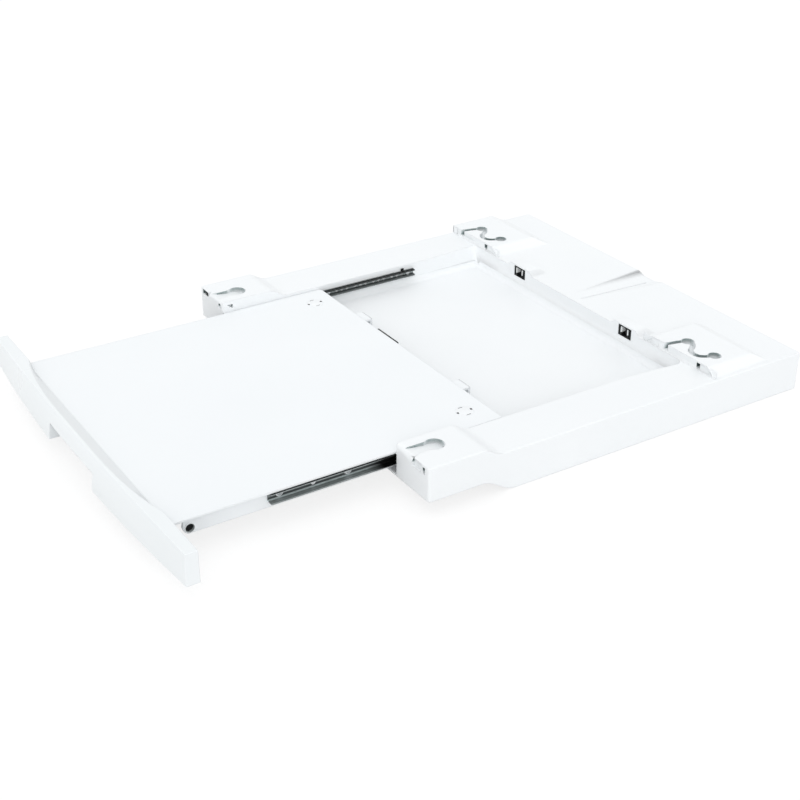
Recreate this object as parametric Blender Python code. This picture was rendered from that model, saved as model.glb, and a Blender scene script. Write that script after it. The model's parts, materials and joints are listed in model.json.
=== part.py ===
"""Washer and dryer stacking kit with a pull-out shelf, in metres, +Z up.

The origin is the middle of the flat underside that rests on the washer. The skirt hangs below
it and the shelf is drawn out to the front, towards -Y. Lengths along Y inside the script count
from the front face of the base, and the empty kit_frame carries everything to the origin.
"""
import math

import bmesh
import bpy
from mathutils import Matrix, Vector

# Base tray
base_width = 0.600
base_depth = 0.592
base_corner = 0.004
skirt_drop = 0.020
skirt_flat = 0.075
skirt_ramp = 0.049
band_height = 0.033
band_edge = 0.0015
wall = 0.003
floor_thickness = 0.0025
side_band = 0.0705
rear_band = 0.152
bay_draft = 0.0005
bay_corner = 0.010
bay_flare = 0.008
bay_flare_start = 0.320
rib = 0.0022
rib_pitch = 0.074
cell_top_wall = 0.003

# Front blocks that the dryer's front feet drop into
block_height = 0.045
block_flat = 0.075
block_ramp = 0.029
block_corner = 0.002
inner_nose = 0.004
right_nose = 0.012
left_nose = 0.0065
foot_channel_width = 0.019
foot_channel_inset = 0.0455
foot_mouth_depth = 0.0012
foot_inner_flare = 0.0015
foot_outer_flare = 0.005
foot_flare_length = 0.010
foot_neck_radius = 0.008
foot_bowl_radius = 0.0127
foot_bowl_inset = 0.0445
foot_bowl_reach = 0.0362
foot_bowl_depth = 0.0080
window_inset = 0.009
window_reach = 0.060
window_skin = 0.0015
right_slot_width = 0.0045
right_slot_height = 0.0085
right_slot_sill = 0.033
right_recess_width = 0.0205
right_recess_gap = 0.003
right_recess_sill = 0.032
right_recess_depth = 0.004
left_window_width = 0.0175
left_window_height = 0.007
dimple_radius = 0.0045
dimple_depth = 0.0035
dimple_inset = 0.008
dimple_height = 0.0365
side_notch_start = 0.008
side_notch_length = 0.0085
side_notch_height = 0.006
side_notch_top = 0.0393
side_notch_depth = 0.008

# Rear pads, the same pad twice, a fixed step apart
pad_top_width = 0.103
pad_flank = 0.018
pad_flat = 0.071
pad_ramp = 0.031
pad_setback = 0.001
pad_left_inset = 0.0535
pad_right_inset = 0.0725
pad_skin = 0.002
pad_sill = 0.0008
pad_window_reach = 0.016
pad_left_window = 0.011
pad_right_window = 0.018
pad_core_start = 0.045
pad_core_length = 0.022
slot_width = 0.0075
slot_depth = 0.009
slot_x_shares = (-0.305, -0.238, -0.208, -0.152, -0.073, 0.000, 0.063, 0.150, 0.238, 0.296, 0.335)
slot_y_shares = (-0.110, 0.040, 0.220, 0.408, 0.415, 0.324, 0.197, 0.141, 0.165, 0.268, 0.418)
slot_bulb_points = (3, 10)
slot_bulb_radius = 0.0090

# Channel across the rear band
channel_rim = 0.060
channel_floor = 0.023
channel_depth = 0.005
channel_start = 0.454
channel_seam_width = 0.0016
channel_seam_depth = 0.0010
channel_seam_offset = 0.009
channel_seam_margin = 0.016

# Catches let into the rear wall
catch_spread = 0.241
catch_width = 0.026
catch_height = 0.0155
catch_depth = 0.018
catch_base = 0.021
catch_wall = 0.0015
catch_fence = 0.0035
pole_thickness = 0.0014
pole_spacing = 0.0120
pole_proud = 0.0008
magnet_depth = 0.010
blister_width = 0.060
blister_depth = 0.027
blister_rise = 0.006
blister_slope = 0.008

# Shelf
shelf_gap = 0.0045
shelf_length = 0.4425
shelf_travel = 0.265
shelf_skin = 0.0025
shelf_top = 0.030
shelf_wall = 0.0025
shelf_side_drop = 0.0256
shelf_side_start = 0.0190
shelf_rear_inset = 0.001
shelf_corner = 0.003
shelf_rear_drop = 0.012
shelf_front_drop = 0.022
shelf_rib_drop = 0.011
shelf_rib_columns = 6
shelf_rib_rows = 5
shelf_notch_start = -0.073
shelf_notch_end = -0.012
shelf_notch_height = 0.005
tongue_width = 0.0265
tongue_reach = 0.0145
tongue_thickness = 0.003
tongue_drop = 0.004
tongue_lip = 0.002

# Round snap caps at the rear corners of the shelf
cap_radius = 0.011
cap_seat = 0.0010
cap_proud = 0.0002
cap_inset = 0.037
cap_setback = 0.031
cap_stem_radius = 0.004
cap_stem_length = 0.006
cap_dimple_radius = 0.0018
cap_dimple_depth = 0.0006
cap_dimple_circle = 0.0080
cap_dimples = 4

# Bumper plugs in the front ends of the shelf's side walls
plug_radius = 0.0052
plug_head_radius = 0.0062
plug_head = 0.0012
plug_length = 0.006
plug_boss_radius = 0.0075

# Fascia
fascia_height = 0.041
fascia_end_depth = 0.017
fascia_bow = 0.014
fascia_lean = 0.0105
fascia_end_lean = 0.0015
fascia_wall = 0.003
fascia_rib = 0.0025
scoop_inset = 0.010
scoop_depth = 0.0175
scoop_power = 3.5
grip_width = 0.141
grip_height = 0.0225
grip_corner = 0.003
fascia_pocket_height = 0.026
fascia_screw_spread = 0.115
fascia_screw_height = 0.015
fascia_boss = 0.010

# Slides, two to the kit: a fixed rail, a shelf rail round it and a ball cage between them
slide_space = 0.0133
rail_length = 0.316
rail_steel = 0.0008
rail_height = 0.0137
rail_reach = 0.0109
rail_lip = 0.0007
rail_centre = 0.0203
shelf_rail_setback = 0.004
fixed_rail_start = 0.003
fixed_rail_height = 0.0098
groove_depth = 0.00145
groove_width = 0.0026
groove_slope = 0.0003
hole_pitch = 0.032
hole_step = 0.009
hole_radius = 0.0017
hole_triplets = 4
hole_end = 0.0205
cage_steel = 0.0005
cage_margin = 0.007
cage_reach = 0.0063
cage_arm = 0.0034
cage_height = 0.0114
ball_radius = 0.0010
ball_reach = 0.0092
ball_level = 0.00475
ball_margin = 0.008
balls_per_row = 6
clip_length = 0.005
clip_height = 0.0034
clip_depth = 0.0015
clip_setback = 0.017

# Fixings
screw_radius = 0.0014
screw_head_radius = 0.0027
screw_head = 0.0006
screw_length = 0.0055
screw_bore_play = 0.0004
fixed_screw_first = 0.020
fixed_screw_middle = 0.149
fixed_screw_last = 0.0104
shelf_screw_first = 0.015
shelf_screw_middle = 0.105
shelf_screw_last = 0.026
shelf_rail_holes = ((0.005, 0.0012), (0.032, 0.0017), (0.059, 0.0026))
fascia_screw_length = 0.014
fascia_screw_head = 0.0016
strike_width = 0.025
strike_height = 0.011
strike_thickness = 0.0015
rivet_radius = 0.0015
rivet_head_radius = 0.0026
rivet_head = 0.0007

# Clearances
seat = 0.0003
running = 0.0004
catch_gap = 0.0009
overrun = 0.010
merge_distance = 0.000002

# Facets
arc_steps = 6
ramp_steps = 8
pad_steps = 6
slot_steps = 3
round_sides = 24
hole_sides = 8
screw_sides = 12
fascia_stations = 28
fascia_front_steps = 7
edge_share = 0.3
sharpest_mitre_share = 0.4
smooth_angle = 35

# Places that follow from the sizes above
half_width = base_width / 2
bay_half = half_width - side_band
bay_depth = base_depth - rear_band
wall_face = bay_half - bay_draft - seat
pad_front = bay_depth + pad_setback
pad_centres = (pad_left_inset - half_width, half_width - pad_right_inset)
catch_half_spread = catch_spread / 2
strike_reach = tongue_reach + seat + strike_thickness
shelf_half = bay_half - shelf_gap
shelf_rear = bay_depth - pole_proud - catch_gap - strike_reach - shelf_travel
shelf_front = shelf_rear - shelf_length
shelf_under = shelf_top - shelf_skin
side_face = wall_face + seat - slide_space
side_front = shelf_front + shelf_side_start
shelf_rail_end = shelf_rear - shelf_rail_setback
fascia_back = shelf_front - seat
fascia_base = 0
ball_line = side_face + ball_reach
cage_web = side_face + cage_reach
cage_start = fixed_rail_start + cage_margin
cage_end = shelf_rail_end - cage_margin
cap_side = shelf_half - cap_inset
bowl_centre = (half_width - foot_bowl_inset, foot_bowl_reach)
fixed_screw_places = (fixed_screw_first, rail_length - fixed_screw_middle, rail_length - fixed_screw_last)
shelf_screw_places = (shelf_screw_first, shelf_screw_middle, rail_length - shelf_screw_last)


def clear_scene():
    for old in list(bpy.data.objects):
        bpy.data.objects.remove(old)


def finish(name, colour, roughness, metallic=0.0):
    material = bpy.data.materials.new(name)
    material.use_nodes = True
    surface = material.node_tree.nodes["Principled BSDF"]
    surface.inputs["Base Color"].default_value = (*colour, 1.0)
    surface.inputs["Roughness"].default_value = roughness
    surface.inputs["Metallic"].default_value = metallic
    material.diffuse_color = (*colour, 1.0)
    return material


def white_plastic(name):
    return finish(name, (0.87, 0.89, 0.90), 0.42)


def black_plastic(name):
    return finish(name, (0.018, 0.019, 0.021), 0.45)


def dark_steel(name):
    return finish(name, (0.20, 0.23, 0.23), 0.36, 0.9)


def bright_steel(name):
    return finish(name, (0.62, 0.64, 0.66), 0.28, 1.0)


def empty(name, place, parent=None):
    holder = bpy.data.objects.new(name, None)
    bpy.context.scene.collection.objects.link(holder)
    holder.location = place
    holder.parent = parent
    return holder


def loft(name, rings):
    """One closed body through rings with the same number of points."""
    shape = bmesh.new()
    loops = [[shape.verts.new(point) for point in ring] for ring in rings]
    for lower, upper in zip(loops, loops[1:]):
        for i in range(len(lower)):
            j = (i + 1) % len(lower)
            shape.faces.new((lower[i], lower[j], upper[j], upper[i]))
    shape.faces.new(list(reversed(loops[0])))
    shape.faces.new(loops[-1])
    bmesh.ops.recalc_face_normals(shape, faces=shape.faces)
    mesh = bpy.data.meshes.new(name)
    shape.to_mesh(mesh)
    shape.free()
    body = bpy.data.objects.new(name, mesh)
    bpy.context.scene.collection.objects.link(body)
    return body


def in_space(point, level, axis):
    """A flat outline's point set at a level along X, Y or Z."""
    if axis == "X":
        return (level, point[0], point[1])
    if axis == "Y":
        return (point[0], level, point[1])
    return (point[0], point[1], level)


def prism(name, outline, low, high, axis="Z"):
    return loft(name, [[in_space(point, level, axis) for point in outline] for level in (low, high)])


def block(name, x, y, z):
    outline = [(x[0], y[0]), (x[1], y[0]), (x[1], y[1]), (x[0], y[1])]
    return prism(name, outline, z[0], z[1])


def arc(centre, radius, start, end, steps):
    """Points on an arc, angles in degrees."""
    points = []
    for i in range(steps + 1):
        turn = math.radians(start + (end - start) * i / steps)
        points.append((centre[0] + radius * math.cos(turn), centre[1] + radius * math.sin(turn)))
    return points


def circle(centre, radius, sides):
    return arc(centre, radius, 0, 360 * (sides - 1) / sides, sides - 1)


def drum(name, centre, radius, low, high, axis, sides=round_sides):
    return prism(name, circle(centre, radius, sides), low, high, axis)


def turned(name, centre, profile, axis, sides=round_sides):
    """A round body from (radius, level) steps along an axis."""
    rings = []
    for radius, level in profile:
        rings.append([in_space(point, level, axis) for point in circle(centre, radius, sides)])
    return loft(name, rings)


def rounded_rectangle(x, y, corner, steps=arc_steps):
    low_x, high_x = x[0] + corner, x[1] - corner
    low_y, high_y = y[0] + corner, y[1] - corner
    points = arc((low_x, low_y), corner, 180, 270, steps)
    points += arc((high_x, low_y), corner, 270, 360, steps)
    points += arc((high_x, high_y), corner, 0, 90, steps)
    points += arc((low_x, high_y), corner, 90, 180, steps)
    return points


def ramp(start, end, low, high, steps=ramp_steps):
    """An S-shaped slope between two levels, as (place, level) points."""
    points = []
    for i in range(steps + 1):
        share = i / steps
        rise = (1 - math.cos(math.pi * share)) / 2
        points.append((start + (end - start) * share, low + (high - low) * rise))
    return points


def band_outline(path, width):
    """A closed outline of constant width along a path, with square ends."""
    left, right = [], []
    for i, point in enumerate(path):
        before = Vector(path[max(i - 1, 0)])
        here = Vector(point)
        after = Vector(path[min(i + 1, len(path) - 1)])
        first = (here - before) if i else (after - here)
        last = (after - here) if i < len(path) - 1 else (here - before)
        across_first = Vector((-first.y, first.x)).normalized()
        across_last = Vector((-last.y, last.x)).normalized()
        mitre = (across_first + across_last).normalized()
        reach = width / 2 / max(mitre.dot(across_first), sharpest_mitre_share)
        left.append(tuple(here + mitre * reach))
        right.append(tuple(here - mitre * reach))
    return left + right[::-1]


def smooth_path(points, steps):
    """A Catmull-Rom curve through the points."""
    path = []
    for i in range(len(points) - 1):
        p0, p1 = Vector(points[max(i - 1, 0)]), Vector(points[i])
        p2, p3 = Vector(points[i + 1]), Vector(points[min(i + 2, len(points) - 1)])
        for step in range(steps):
            t = step / steps
            bend = (p2 - p0) * t + (p0 * 2 - p1 * 5 + p2 * 4 - p3) * t ** 2
            bend += (p1 * 3 - p0 - p2 * 3 + p3) * t ** 3
            path.append(tuple(p1 + bend / 2))
    path.append(tuple(points[-1]))
    return path


def join_meshes(tools):
    """Puts separate bodies into the first one's mesh."""
    shape = bmesh.new()
    for tool in tools:
        shape.from_mesh(tool.data)
    shape.to_mesh(tools[0].data)
    shape.free()
    for tool in tools[1:]:
        bpy.data.objects.remove(tool)
    return tools[0]


def boolean(body, tool, operation):
    change = body.modifiers.new(operation, "BOOLEAN")
    change.object = tool
    change.operation = operation
    change.solver = "EXACT"
    with bpy.context.temp_override(object=body, active_object=body):
        bpy.ops.object.modifier_apply(modifier=change.name)
    bpy.data.objects.remove(tool)


def fuse(body, *tools):
    for tool in tools:
        boolean(body, tool, "UNION")


def cut(body, *tools):
    for tool in tools:
        boolean(body, tool, "DIFFERENCE")


def cut_apart(body, tools):
    """Cuts with tools that don't touch each other, in one step."""
    boolean(body, join_meshes(tools), "DIFFERENCE")


def seat_object(body, material, parent, smooth=False):
    """Cleans a finished body and gives it its material, parent and shading."""
    shape = bmesh.new()
    shape.from_mesh(body.data)
    bmesh.ops.remove_doubles(shape, verts=shape.verts, dist=merge_distance)
    bmesh.ops.dissolve_degenerate(shape, dist=merge_distance, edges=shape.edges)
    shape.to_mesh(body.data)
    shape.free()
    body.data.materials.clear()
    body.data.materials.append(material)
    body.parent = parent
    if parent.parent:
        body.location = -parent.location
    if smooth:
        body.data.shade_smooth()
        body.data.set_sharp_from_angle(angle=math.radians(smooth_angle))
    return body


def mirrored(body, name):
    """The same body on the other side of the middle plane."""
    twin = bpy.data.objects.new(name, body.data.copy())
    bpy.context.scene.collection.objects.link(twin)
    shape = bmesh.new()
    shape.from_mesh(twin.data)
    bmesh.ops.transform(shape, matrix=Matrix.Scale(-1, 4, Vector((1, 0, 0))), verts=shape.verts)
    bmesh.ops.reverse_faces(shape, faces=shape.faces)
    shape.to_mesh(twin.data)
    shape.free()
    return twin


def at_level(outline, level):
    return [(x, y, level) for x, y in outline]


# Base tray


def bay_outline(half, flare):
    """The bay in plan, open at the front, with its front corners rounded outwards."""
    corner_y = bay_depth - bay_corner
    side = [(half + block_corner, -overrun)]
    side += arc((half + block_corner, block_corner), block_corner, 270, 180, arc_steps)
    for i in range(arc_steps + 1):
        share = i / arc_steps
        side.append((half + flare * share * share, bay_flare_start + (corner_y - bay_flare_start) * share))
    side += arc((half + flare - bay_corner, corner_y), bay_corner, 0, 90, arc_steps)[1:]
    return side + [(-x, y) for x, y in reversed(side)]


def bay_cutter():
    upright = bay_outline(bay_half, bay_flare)
    rings = [at_level(bay_outline(bay_half - bay_draft, 0), floor_thickness)]
    rings += [at_level(upright, band_height), at_level(upright, block_height + overrun)]
    return loft("bay", rings)


def outer_form(name, top):
    """The base's outline in plan up to a level, with a softened top edge."""
    def outline(inset):
        x = (-half_width + inset, half_width - inset)
        return rounded_rectangle(x, (inset, base_depth - inset), base_corner)
    soft = band_edge * edge_share
    rings = [at_level(outline(0), -skirt_drop), at_level(outline(0), top - band_edge)]
    rings += [at_level(outline(soft), top - soft), at_level(outline(band_edge), top)]
    return loft(name, rings)


def front_block():
    """The raised block at the front right, with its slope down to the band."""
    end = block_flat + block_ramp
    root = band_height - 2 * band_edge
    profile = [(-overrun, root), (end, root)] + ramp(end, block_flat, band_height, block_height)
    profile += [(block_flat, block_height + overrun), (-overrun, block_height + overrun)]
    body = prism("front_block", profile, bay_half - bay_draft, half_width + overrun, "X")
    boolean(body, outer_form("outer_form", block_height), "INTERSECT")
    return body


def neck_arc(edge, side):
    """The fillet between one edge of the foot channel and the bowl, from the channel on."""
    across = edge + side * foot_neck_radius - bowl_centre[0]
    reach = foot_bowl_radius + foot_neck_radius
    along = math.sqrt(reach * reach - across * across)
    centre = (bowl_centre[0] + across, bowl_centre[1] - along)
    start = 180 if side > 0 else 0
    return arc(centre, foot_neck_radius, start, math.degrees(math.atan2(along, -across)), arc_steps)


def foot_recess():
    """The keyhole that the foot slides into, deeper towards its round end."""
    middle = half_width - foot_channel_inset
    edges = (middle + foot_channel_width / 2, middle - foot_channel_width / 2)
    necks = (neck_arc(edges[0], 1), neck_arc(edges[1], -1))
    turns = []
    for neck in necks:
        x, y = neck[-1]
        turns.append(math.degrees(math.atan2(y - bowl_centre[1], x - bowl_centre[0])))
    mouth = (edges[0] + foot_outer_flare, edges[1] - foot_inner_flare)
    outline = [(mouth[1], -overrun), (mouth[0], -overrun), (mouth[0], 0), (edges[0], foot_flare_length)]
    outline += necks[0][:-1]
    outline += arc(bowl_centre, foot_bowl_radius, turns[0], turns[1] + 360, round_sides)
    outline += necks[1][-2::-1] + [(edges[1], foot_flare_length), (mouth[1], 0)]
    fall = (foot_bowl_depth - foot_mouth_depth) / (foot_bowl_reach + foot_bowl_radius)
    floor = [(x, y, block_height - foot_mouth_depth - fall * y) for x, y in outline]
    return loft("foot_recess", [floor, at_level(outline, block_height + overrun)])


def nose(ends, radii):
    """Rounds a front top edge between two places across the kit, with a radius for each."""
    high = block_height + overrun
    rings = []
    for end, radius in zip(ends, radii):
        low = block_height - radius
        profile = [(-overrun, low)] + arc((radius, low), radius, 180, 90, arc_steps)
        profile += [(radius, high), (-overrun, high)]
        rings.append([in_space(point, end, "X") for point in profile])
    return loft("nose", rings)


def nose_cutters():
    """Round the front top edges of the blocks between the bay and the windows."""
    side = half_width - window_inset
    right_end = side - right_slot_width - right_recess_gap - right_recess_width
    left_end = left_window_width + window_skin - side
    right = nose((bay_half - overrun, right_end), (inner_nose, right_nose))
    left = nose((overrun - bay_half, left_end), (inner_nose, left_nose))
    return [right, left]


def front_windows():
    """The shallow recess and deep slot in the right block's front, and the opening in the left one's."""
    side = half_width - window_inset
    top = block_height - window_skin
    deep = (-overrun, window_reach)
    inner = side - right_slot_width - right_recess_gap
    slot_z = (right_slot_sill, right_slot_sill + right_slot_height)
    recess_x = (inner - right_recess_width, inner)
    slot = block("slot", (side - right_slot_width, side), deep, slot_z)
    recess = block("recess", recess_x, (-overrun, right_recess_depth), (right_recess_sill, top))
    opening = block("opening", (-side, left_window_width - side), deep, (top - left_window_height, top))
    return [slot, recess, opening]


def front_dimple():
    """The round dimple in the left block's front."""
    centre = (-bay_half - dimple_inset, dimple_height)
    return drum("dimple", centre, dimple_radius, -overrun, dimple_depth, "Y", round_sides // 2)


def side_notch():
    """The three-cornered hole in the bay side of a front block."""
    end = side_notch_start + side_notch_length
    low = side_notch_top - side_notch_height
    outline = [(side_notch_start, side_notch_top), (end, low), (end, side_notch_top)]
    return prism("notch", outline, bay_half - overrun, bay_half + side_notch_depth, "X")


def pad_body(centre):
    """A raised rear pad with an upright front and sloped flanks and rear."""
    rings = []
    levels = [(1, band_height - 2 * band_edge)]
    for place, level in ramp(0, 1, block_height, band_height, pad_steps):
        levels.insert(1, (place, level))
    for spread, level in levels:
        half = pad_top_width / 2 + pad_flank * spread
        rear = pad_front + pad_flat + pad_ramp * spread
        ring = [(centre - half, pad_front), (centre + half, pad_front)]
        ring += [(centre + half, rear), (centre - half, rear)]
        rings.append(at_level(ring, level))
    body = loft("pad", rings)
    for side in (-1, 1):
        outer = sorted((side * half_width, side * (half_width + base_width)))
        cut(body, block("trim", outer, (0, base_depth), (0, block_height + overrun)))
    return body


def pad_windows(centre):
    """The two openings under the top skin, seen in the pad's upright front."""
    high = block_height - pad_skin
    sill = band_height + pad_sill
    foot = pad_top_width / 2 + pad_flank - 3 * pad_skin
    top = pad_top_width / 2
    low_x = -half_width + pad_skin - centre
    high_x = half_width - pad_skin - centre
    left_inner = -top + pad_left_window
    right_inner = top - pad_right_window
    left = [(max(-foot, low_x), sill), (left_inner, sill)]
    left += [(left_inner, high), (max(-top, low_x), high)]
    right = [(right_inner, sill), (min(foot, high_x), sill)]
    right += [(min(top, high_x), high), (right_inner, high)]
    cutters = []
    for outline in (left, right):
        shifted = [(centre + x, z) for x, z in outline]
        cutters.append(prism("pad_window", shifted, pad_front - overrun, pad_front + pad_window_reach, "Y"))
    return cutters


def pad_slot(centre):
    """The S-shaped slot in the top of a rear pad, open at the front, with two round bulbs."""
    points = []
    for x_share, y_share in zip(slot_x_shares, slot_y_shares):
        points.append((centre + x_share * pad_top_width, pad_front + y_share * pad_flat))
    outline = band_outline(smooth_path(points, slot_steps), slot_width)
    low = block_height - slot_depth
    high = block_height + overrun
    bulbs = [drum("bulb", points[i], slot_bulb_radius, low, high, "Z") for i in slot_bulb_points]
    return [prism("slot", outline, low, high), *bulbs]


def pad_core(centre):
    """The hollow under the back of a rear pad, open to the cells below."""
    start = pad_front + pad_core_start
    half = pad_top_width / 2 - wall
    x = (max(centre - half, wall - half_width), min(centre + half, half_width - wall))
    z = (band_height - cell_top_wall - wall, block_height - pad_skin)
    return block("pad_core", x, (start, start + pad_core_length), z)


def channel_cutter():
    """The shallow channel that falls to the rear edge."""
    side = (channel_rim - channel_floor) / 2 / channel_depth
    rings = []
    for y in (channel_start, base_depth + overrun):
        fall = channel_depth * (y - channel_start) / (base_depth - channel_start)
        low = band_height - fall
        high = band_height + overrun
        spread = side * (high - low)
        ring = [(-channel_floor / 2, y, low), (channel_floor / 2, y, low)]
        ring += [(channel_floor / 2 + spread, y, high), (-channel_floor / 2 - spread, y, high)]
        rings.append(ring)
    return loft("channel", rings)


def channel_seam():
    """A fine groove along the channel, near its right side."""
    rings = []
    for y in (channel_start, base_depth - channel_seam_margin):
        low = band_height - channel_depth * (y - channel_start) / (base_depth - channel_start)
        low -= channel_seam_depth
        x = (channel_seam_offset - channel_seam_width / 2, channel_seam_offset + channel_seam_width / 2)
        high = band_height + overrun
        rings.append([(x[0], y, low), (x[1], y, low), (x[1], y, high), (x[0], y, high)])
    return loft("seam", rings)


def blister(centre):
    """The swelling of the band over a catch."""
    half = blister_width / 2
    front = bay_depth - wall
    rear = bay_depth + blister_depth
    root = band_height - 2 * band_edge
    low = [(centre - half, front), (centre + half, front), (centre + half, rear), (centre - half, rear)]
    inner = half - blister_slope
    back = rear - blister_slope
    high = [(centre - inner, front), (centre + inner, front)]
    high += [(centre + inner, back), (centre - inner, back)]
    rings = [at_level(low, root), at_level(low, band_height), at_level(high, band_height + blister_rise)]
    return loft("blister", rings)


def catch_pocket(centre):
    half = catch_width / 2 + seat
    y = (bay_depth - overrun, bay_depth + catch_depth + seat)
    z = (catch_base - seat, catch_base + catch_height + seat)
    return block("pocket", (centre - half, centre + half), y, z)


def spans(start, end, count):
    """Equal stretches between two ends, one rib apart."""
    pitch = (end - start + rib) / count
    return [(start + i * pitch, start + (i + 1) * pitch - rib) for i in range(count)]


def side_cells():
    """The hollows under the right-hand band, between its ribs."""
    cells = []
    high = band_height - cell_top_wall
    for y in spans(wall, base_depth - wall, max(round(base_depth / rib_pitch), 1)):
        inner = bay_half + wall + (bay_flare if y[1] > bay_flare_start else 0)
        cells.append(block("cell", (inner, half_width - wall), y, (-skirt_drop - overrun, high)))
    return cells


def rear_cells():
    """The hollows under the rear band: a front row round the catches and two full rows."""
    cells = []
    low = -skirt_drop - overrun
    high = band_height - cell_top_wall
    edge = bay_half + bay_flare
    catch_half = catch_width / 2 + catch_fence
    front_row = (bay_depth + wall, bay_depth + blister_depth)
    inner = (rib / 2, catch_half_spread - catch_half)
    outer = (catch_half_spread + catch_half, edge)
    for x in (inner, outer):
        cells.append(block("cell", x, front_row, (low, high)))
        cells.append(block("cell", (-x[1], -x[0]), front_row, (low, high)))
    columns = 2 * max(round(edge / rib_pitch), 1)
    for y in spans(front_row[1] + rib, base_depth - wall, 2):
        for x in spans(-edge, edge, columns):
            under_channel = min(abs(x[0]), abs(x[1])) < channel_rim / 2
            top = high - channel_depth if under_channel else high
            cells.append(block("cell", x, y, (low, top)))
    return cells


def skirt_hollow():
    """The space that takes the top of the washer."""
    x = (-half_width + wall, half_width - wall)
    return block("hollow", x, (-overrun, base_depth - wall), (-skirt_drop - overrun, 0))


def skirt_ramp_cutter():
    """Clears the skirt from the front, with a soft slope down to its full depth."""
    end = skirt_flat + skirt_ramp
    low = -skirt_drop - overrun
    profile = [(-overrun, low), (end, low)] + ramp(end, skirt_flat, -skirt_drop, 0) + [(-overrun, 0)]
    return prism("skirt_ramp", profile, -half_width - overrun, half_width + overrun, "X")


def both_sides(maker):
    right = maker()
    return [right, mirrored(right, right.name + "_left")]


def rail_screw_bores(places, start, low, high):
    """Cutters for screws through an upright wall on the right, at places along a rail."""
    bore = screw_radius + screw_bore_play
    bores = []
    for place in places:
        bores.append(drum("bore", (start + place, rail_centre), bore, low, high, "X", hole_sides))
    return bores


def base_tray(parent):
    body = outer_form("base_tray", band_height)
    catches = (-catch_half_spread, catch_half_spread)
    fuse(body, *both_sides(front_block), *[pad_body(centre) for centre in pad_centres])
    fuse(body, *[blister(centre) for centre in catches])
    cut(body, skirt_hollow(), skirt_ramp_cutter())
    cut(body, bay_cutter(), channel_cutter(), channel_seam())
    right_cells = side_cells()
    left_cells = [mirrored(cell, "cell_left") for cell in right_cells]
    cut_apart(body, right_cells + left_cells + rear_cells())
    cut_apart(body, both_sides(foot_recess))
    cut_apart(body, both_sides(side_notch))
    cut_apart(body, nose_cutters())
    cut_apart(body, front_windows() + [front_dimple()])
    for centre in pad_centres:
        cut(body, *pad_windows(centre), *pad_slot(centre), pad_core(centre))
    cut_apart(body, [catch_pocket(centre) for centre in catches])
    end = bay_half + wall + screw_length
    bores = rail_screw_bores(fixed_screw_places, fixed_rail_start, bay_half - overrun, end)
    cut_apart(body, bores + [mirrored(bore, "bore_left") for bore in bores])
    seat_object(body, white_plastic("tray_plastic"), parent)


# Shelf


def shelf_walls():
    """The upright walls and the rib grid under the shelf's top."""
    root = shelf_under + shelf_skin / 2
    rear = shelf_rear - shelf_rear_inset
    low = shelf_top - shelf_rib_drop
    inner_x = (-side_face + shelf_wall, side_face - shelf_wall)
    inner_y = (shelf_front + shelf_wall, rear - shelf_wall)
    grid = block("grid", (-side_face, side_face), (shelf_front, rear), (low, root))
    cells = []
    for x in spans(*inner_x, shelf_rib_columns):
        for y in spans(*inner_y, shelf_rib_rows):
            cells.append(block("cell", x, y, (low - overrun, root + overrun)))
    cut_apart(grid, cells)
    front_low = shelf_top - shelf_front_drop
    front = block("front", inner_x, (shelf_front, inner_y[0]), (front_low, root))
    rear_low = shelf_top - shelf_rear_drop
    back = block("back", (-side_face, side_face), (inner_y[1], rear), (rear_low, root))
    return [grid, front, back]


def shelf_side():
    """The side wall that carries the rail, round at its lower front end."""
    low = shelf_top - shelf_side_drop
    rear = shelf_rear - shelf_rear_inset
    root = shelf_under + shelf_skin / 2
    centre = (side_front + plug_boss_radius, low + plug_boss_radius)
    profile = [(rear, root), (rear, low)] + arc(centre, plug_boss_radius, 270, 180, arc_steps)
    profile += [(side_front, root)]
    wall_body = prism("side", profile, side_face - shelf_wall, side_face, "X")
    boss_end = side_face - plug_length
    fuse(wall_body, drum("boss", centre, plug_boss_radius - seat, boss_end, side_face - shelf_wall / 2, "X"))
    return wall_body


def front_gap():
    """Clears the rib grid's edge in front of the side wall's round end."""
    x = (side_face - shelf_wall * 3 / 2, side_face + overrun)
    return block("gap", x, (shelf_front + shelf_wall, side_front), (shelf_top - shelf_side_drop, shelf_under))


def plug_centre():
    reach = plug_boss_radius
    return (side_front + reach, shelf_top - shelf_side_drop + reach)


def plug_bore():
    return drum("plug_bore", plug_centre(), plug_radius + seat, side_face - plug_length - overrun,
                side_face + overrun, "X")


def tongue():
    """A strike tongue behind the shelf, with a lip that carries the strike plate."""
    half = tongue_width / 2
    x = (catch_half_spread - half, catch_half_spread + half)
    top = shelf_top - tongue_drop
    end = shelf_rear + tongue_reach
    start = shelf_rear - shelf_rear_inset - shelf_wall / 2
    body = block("tongue", x, (start, end), (top - tongue_thickness, top))
    fuse(body, block("lip", x, (end - tongue_lip, end), (top - strike_height, top - tongue_thickness / 2)))
    centre = (catch_half_spread, top - strike_height / 2 - tongue_thickness / 2)
    low = end - tongue_lip - overrun / 2
    cut(body, drum("rivet_bore", centre, rivet_radius + seat, low, end + overrun, "Y", hole_sides))
    return body


def cap_bores():
    """The seats of the round snap caps."""
    centre = (cap_side, shelf_rear - cap_setback)
    high = shelf_top + overrun
    low = shelf_top - shelf_rib_drop - overrun
    seat_bore = drum("cap_seat", centre, cap_radius + seat, shelf_top - cap_seat, high, "Z")
    stem_bore = drum("cap_stem", centre, cap_stem_radius + seat, low, high, "Z", hole_sides)
    return [seat_bore, mirrored(seat_bore, "cap_seat_left"), stem_bore, mirrored(stem_bore, "cap_stem_left")]


def fascia_screw_xs():
    inner = grip_width / 2 + fascia_boss
    return [-inner - fascia_screw_spread, -inner, inner, inner + fascia_screw_spread]


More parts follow.
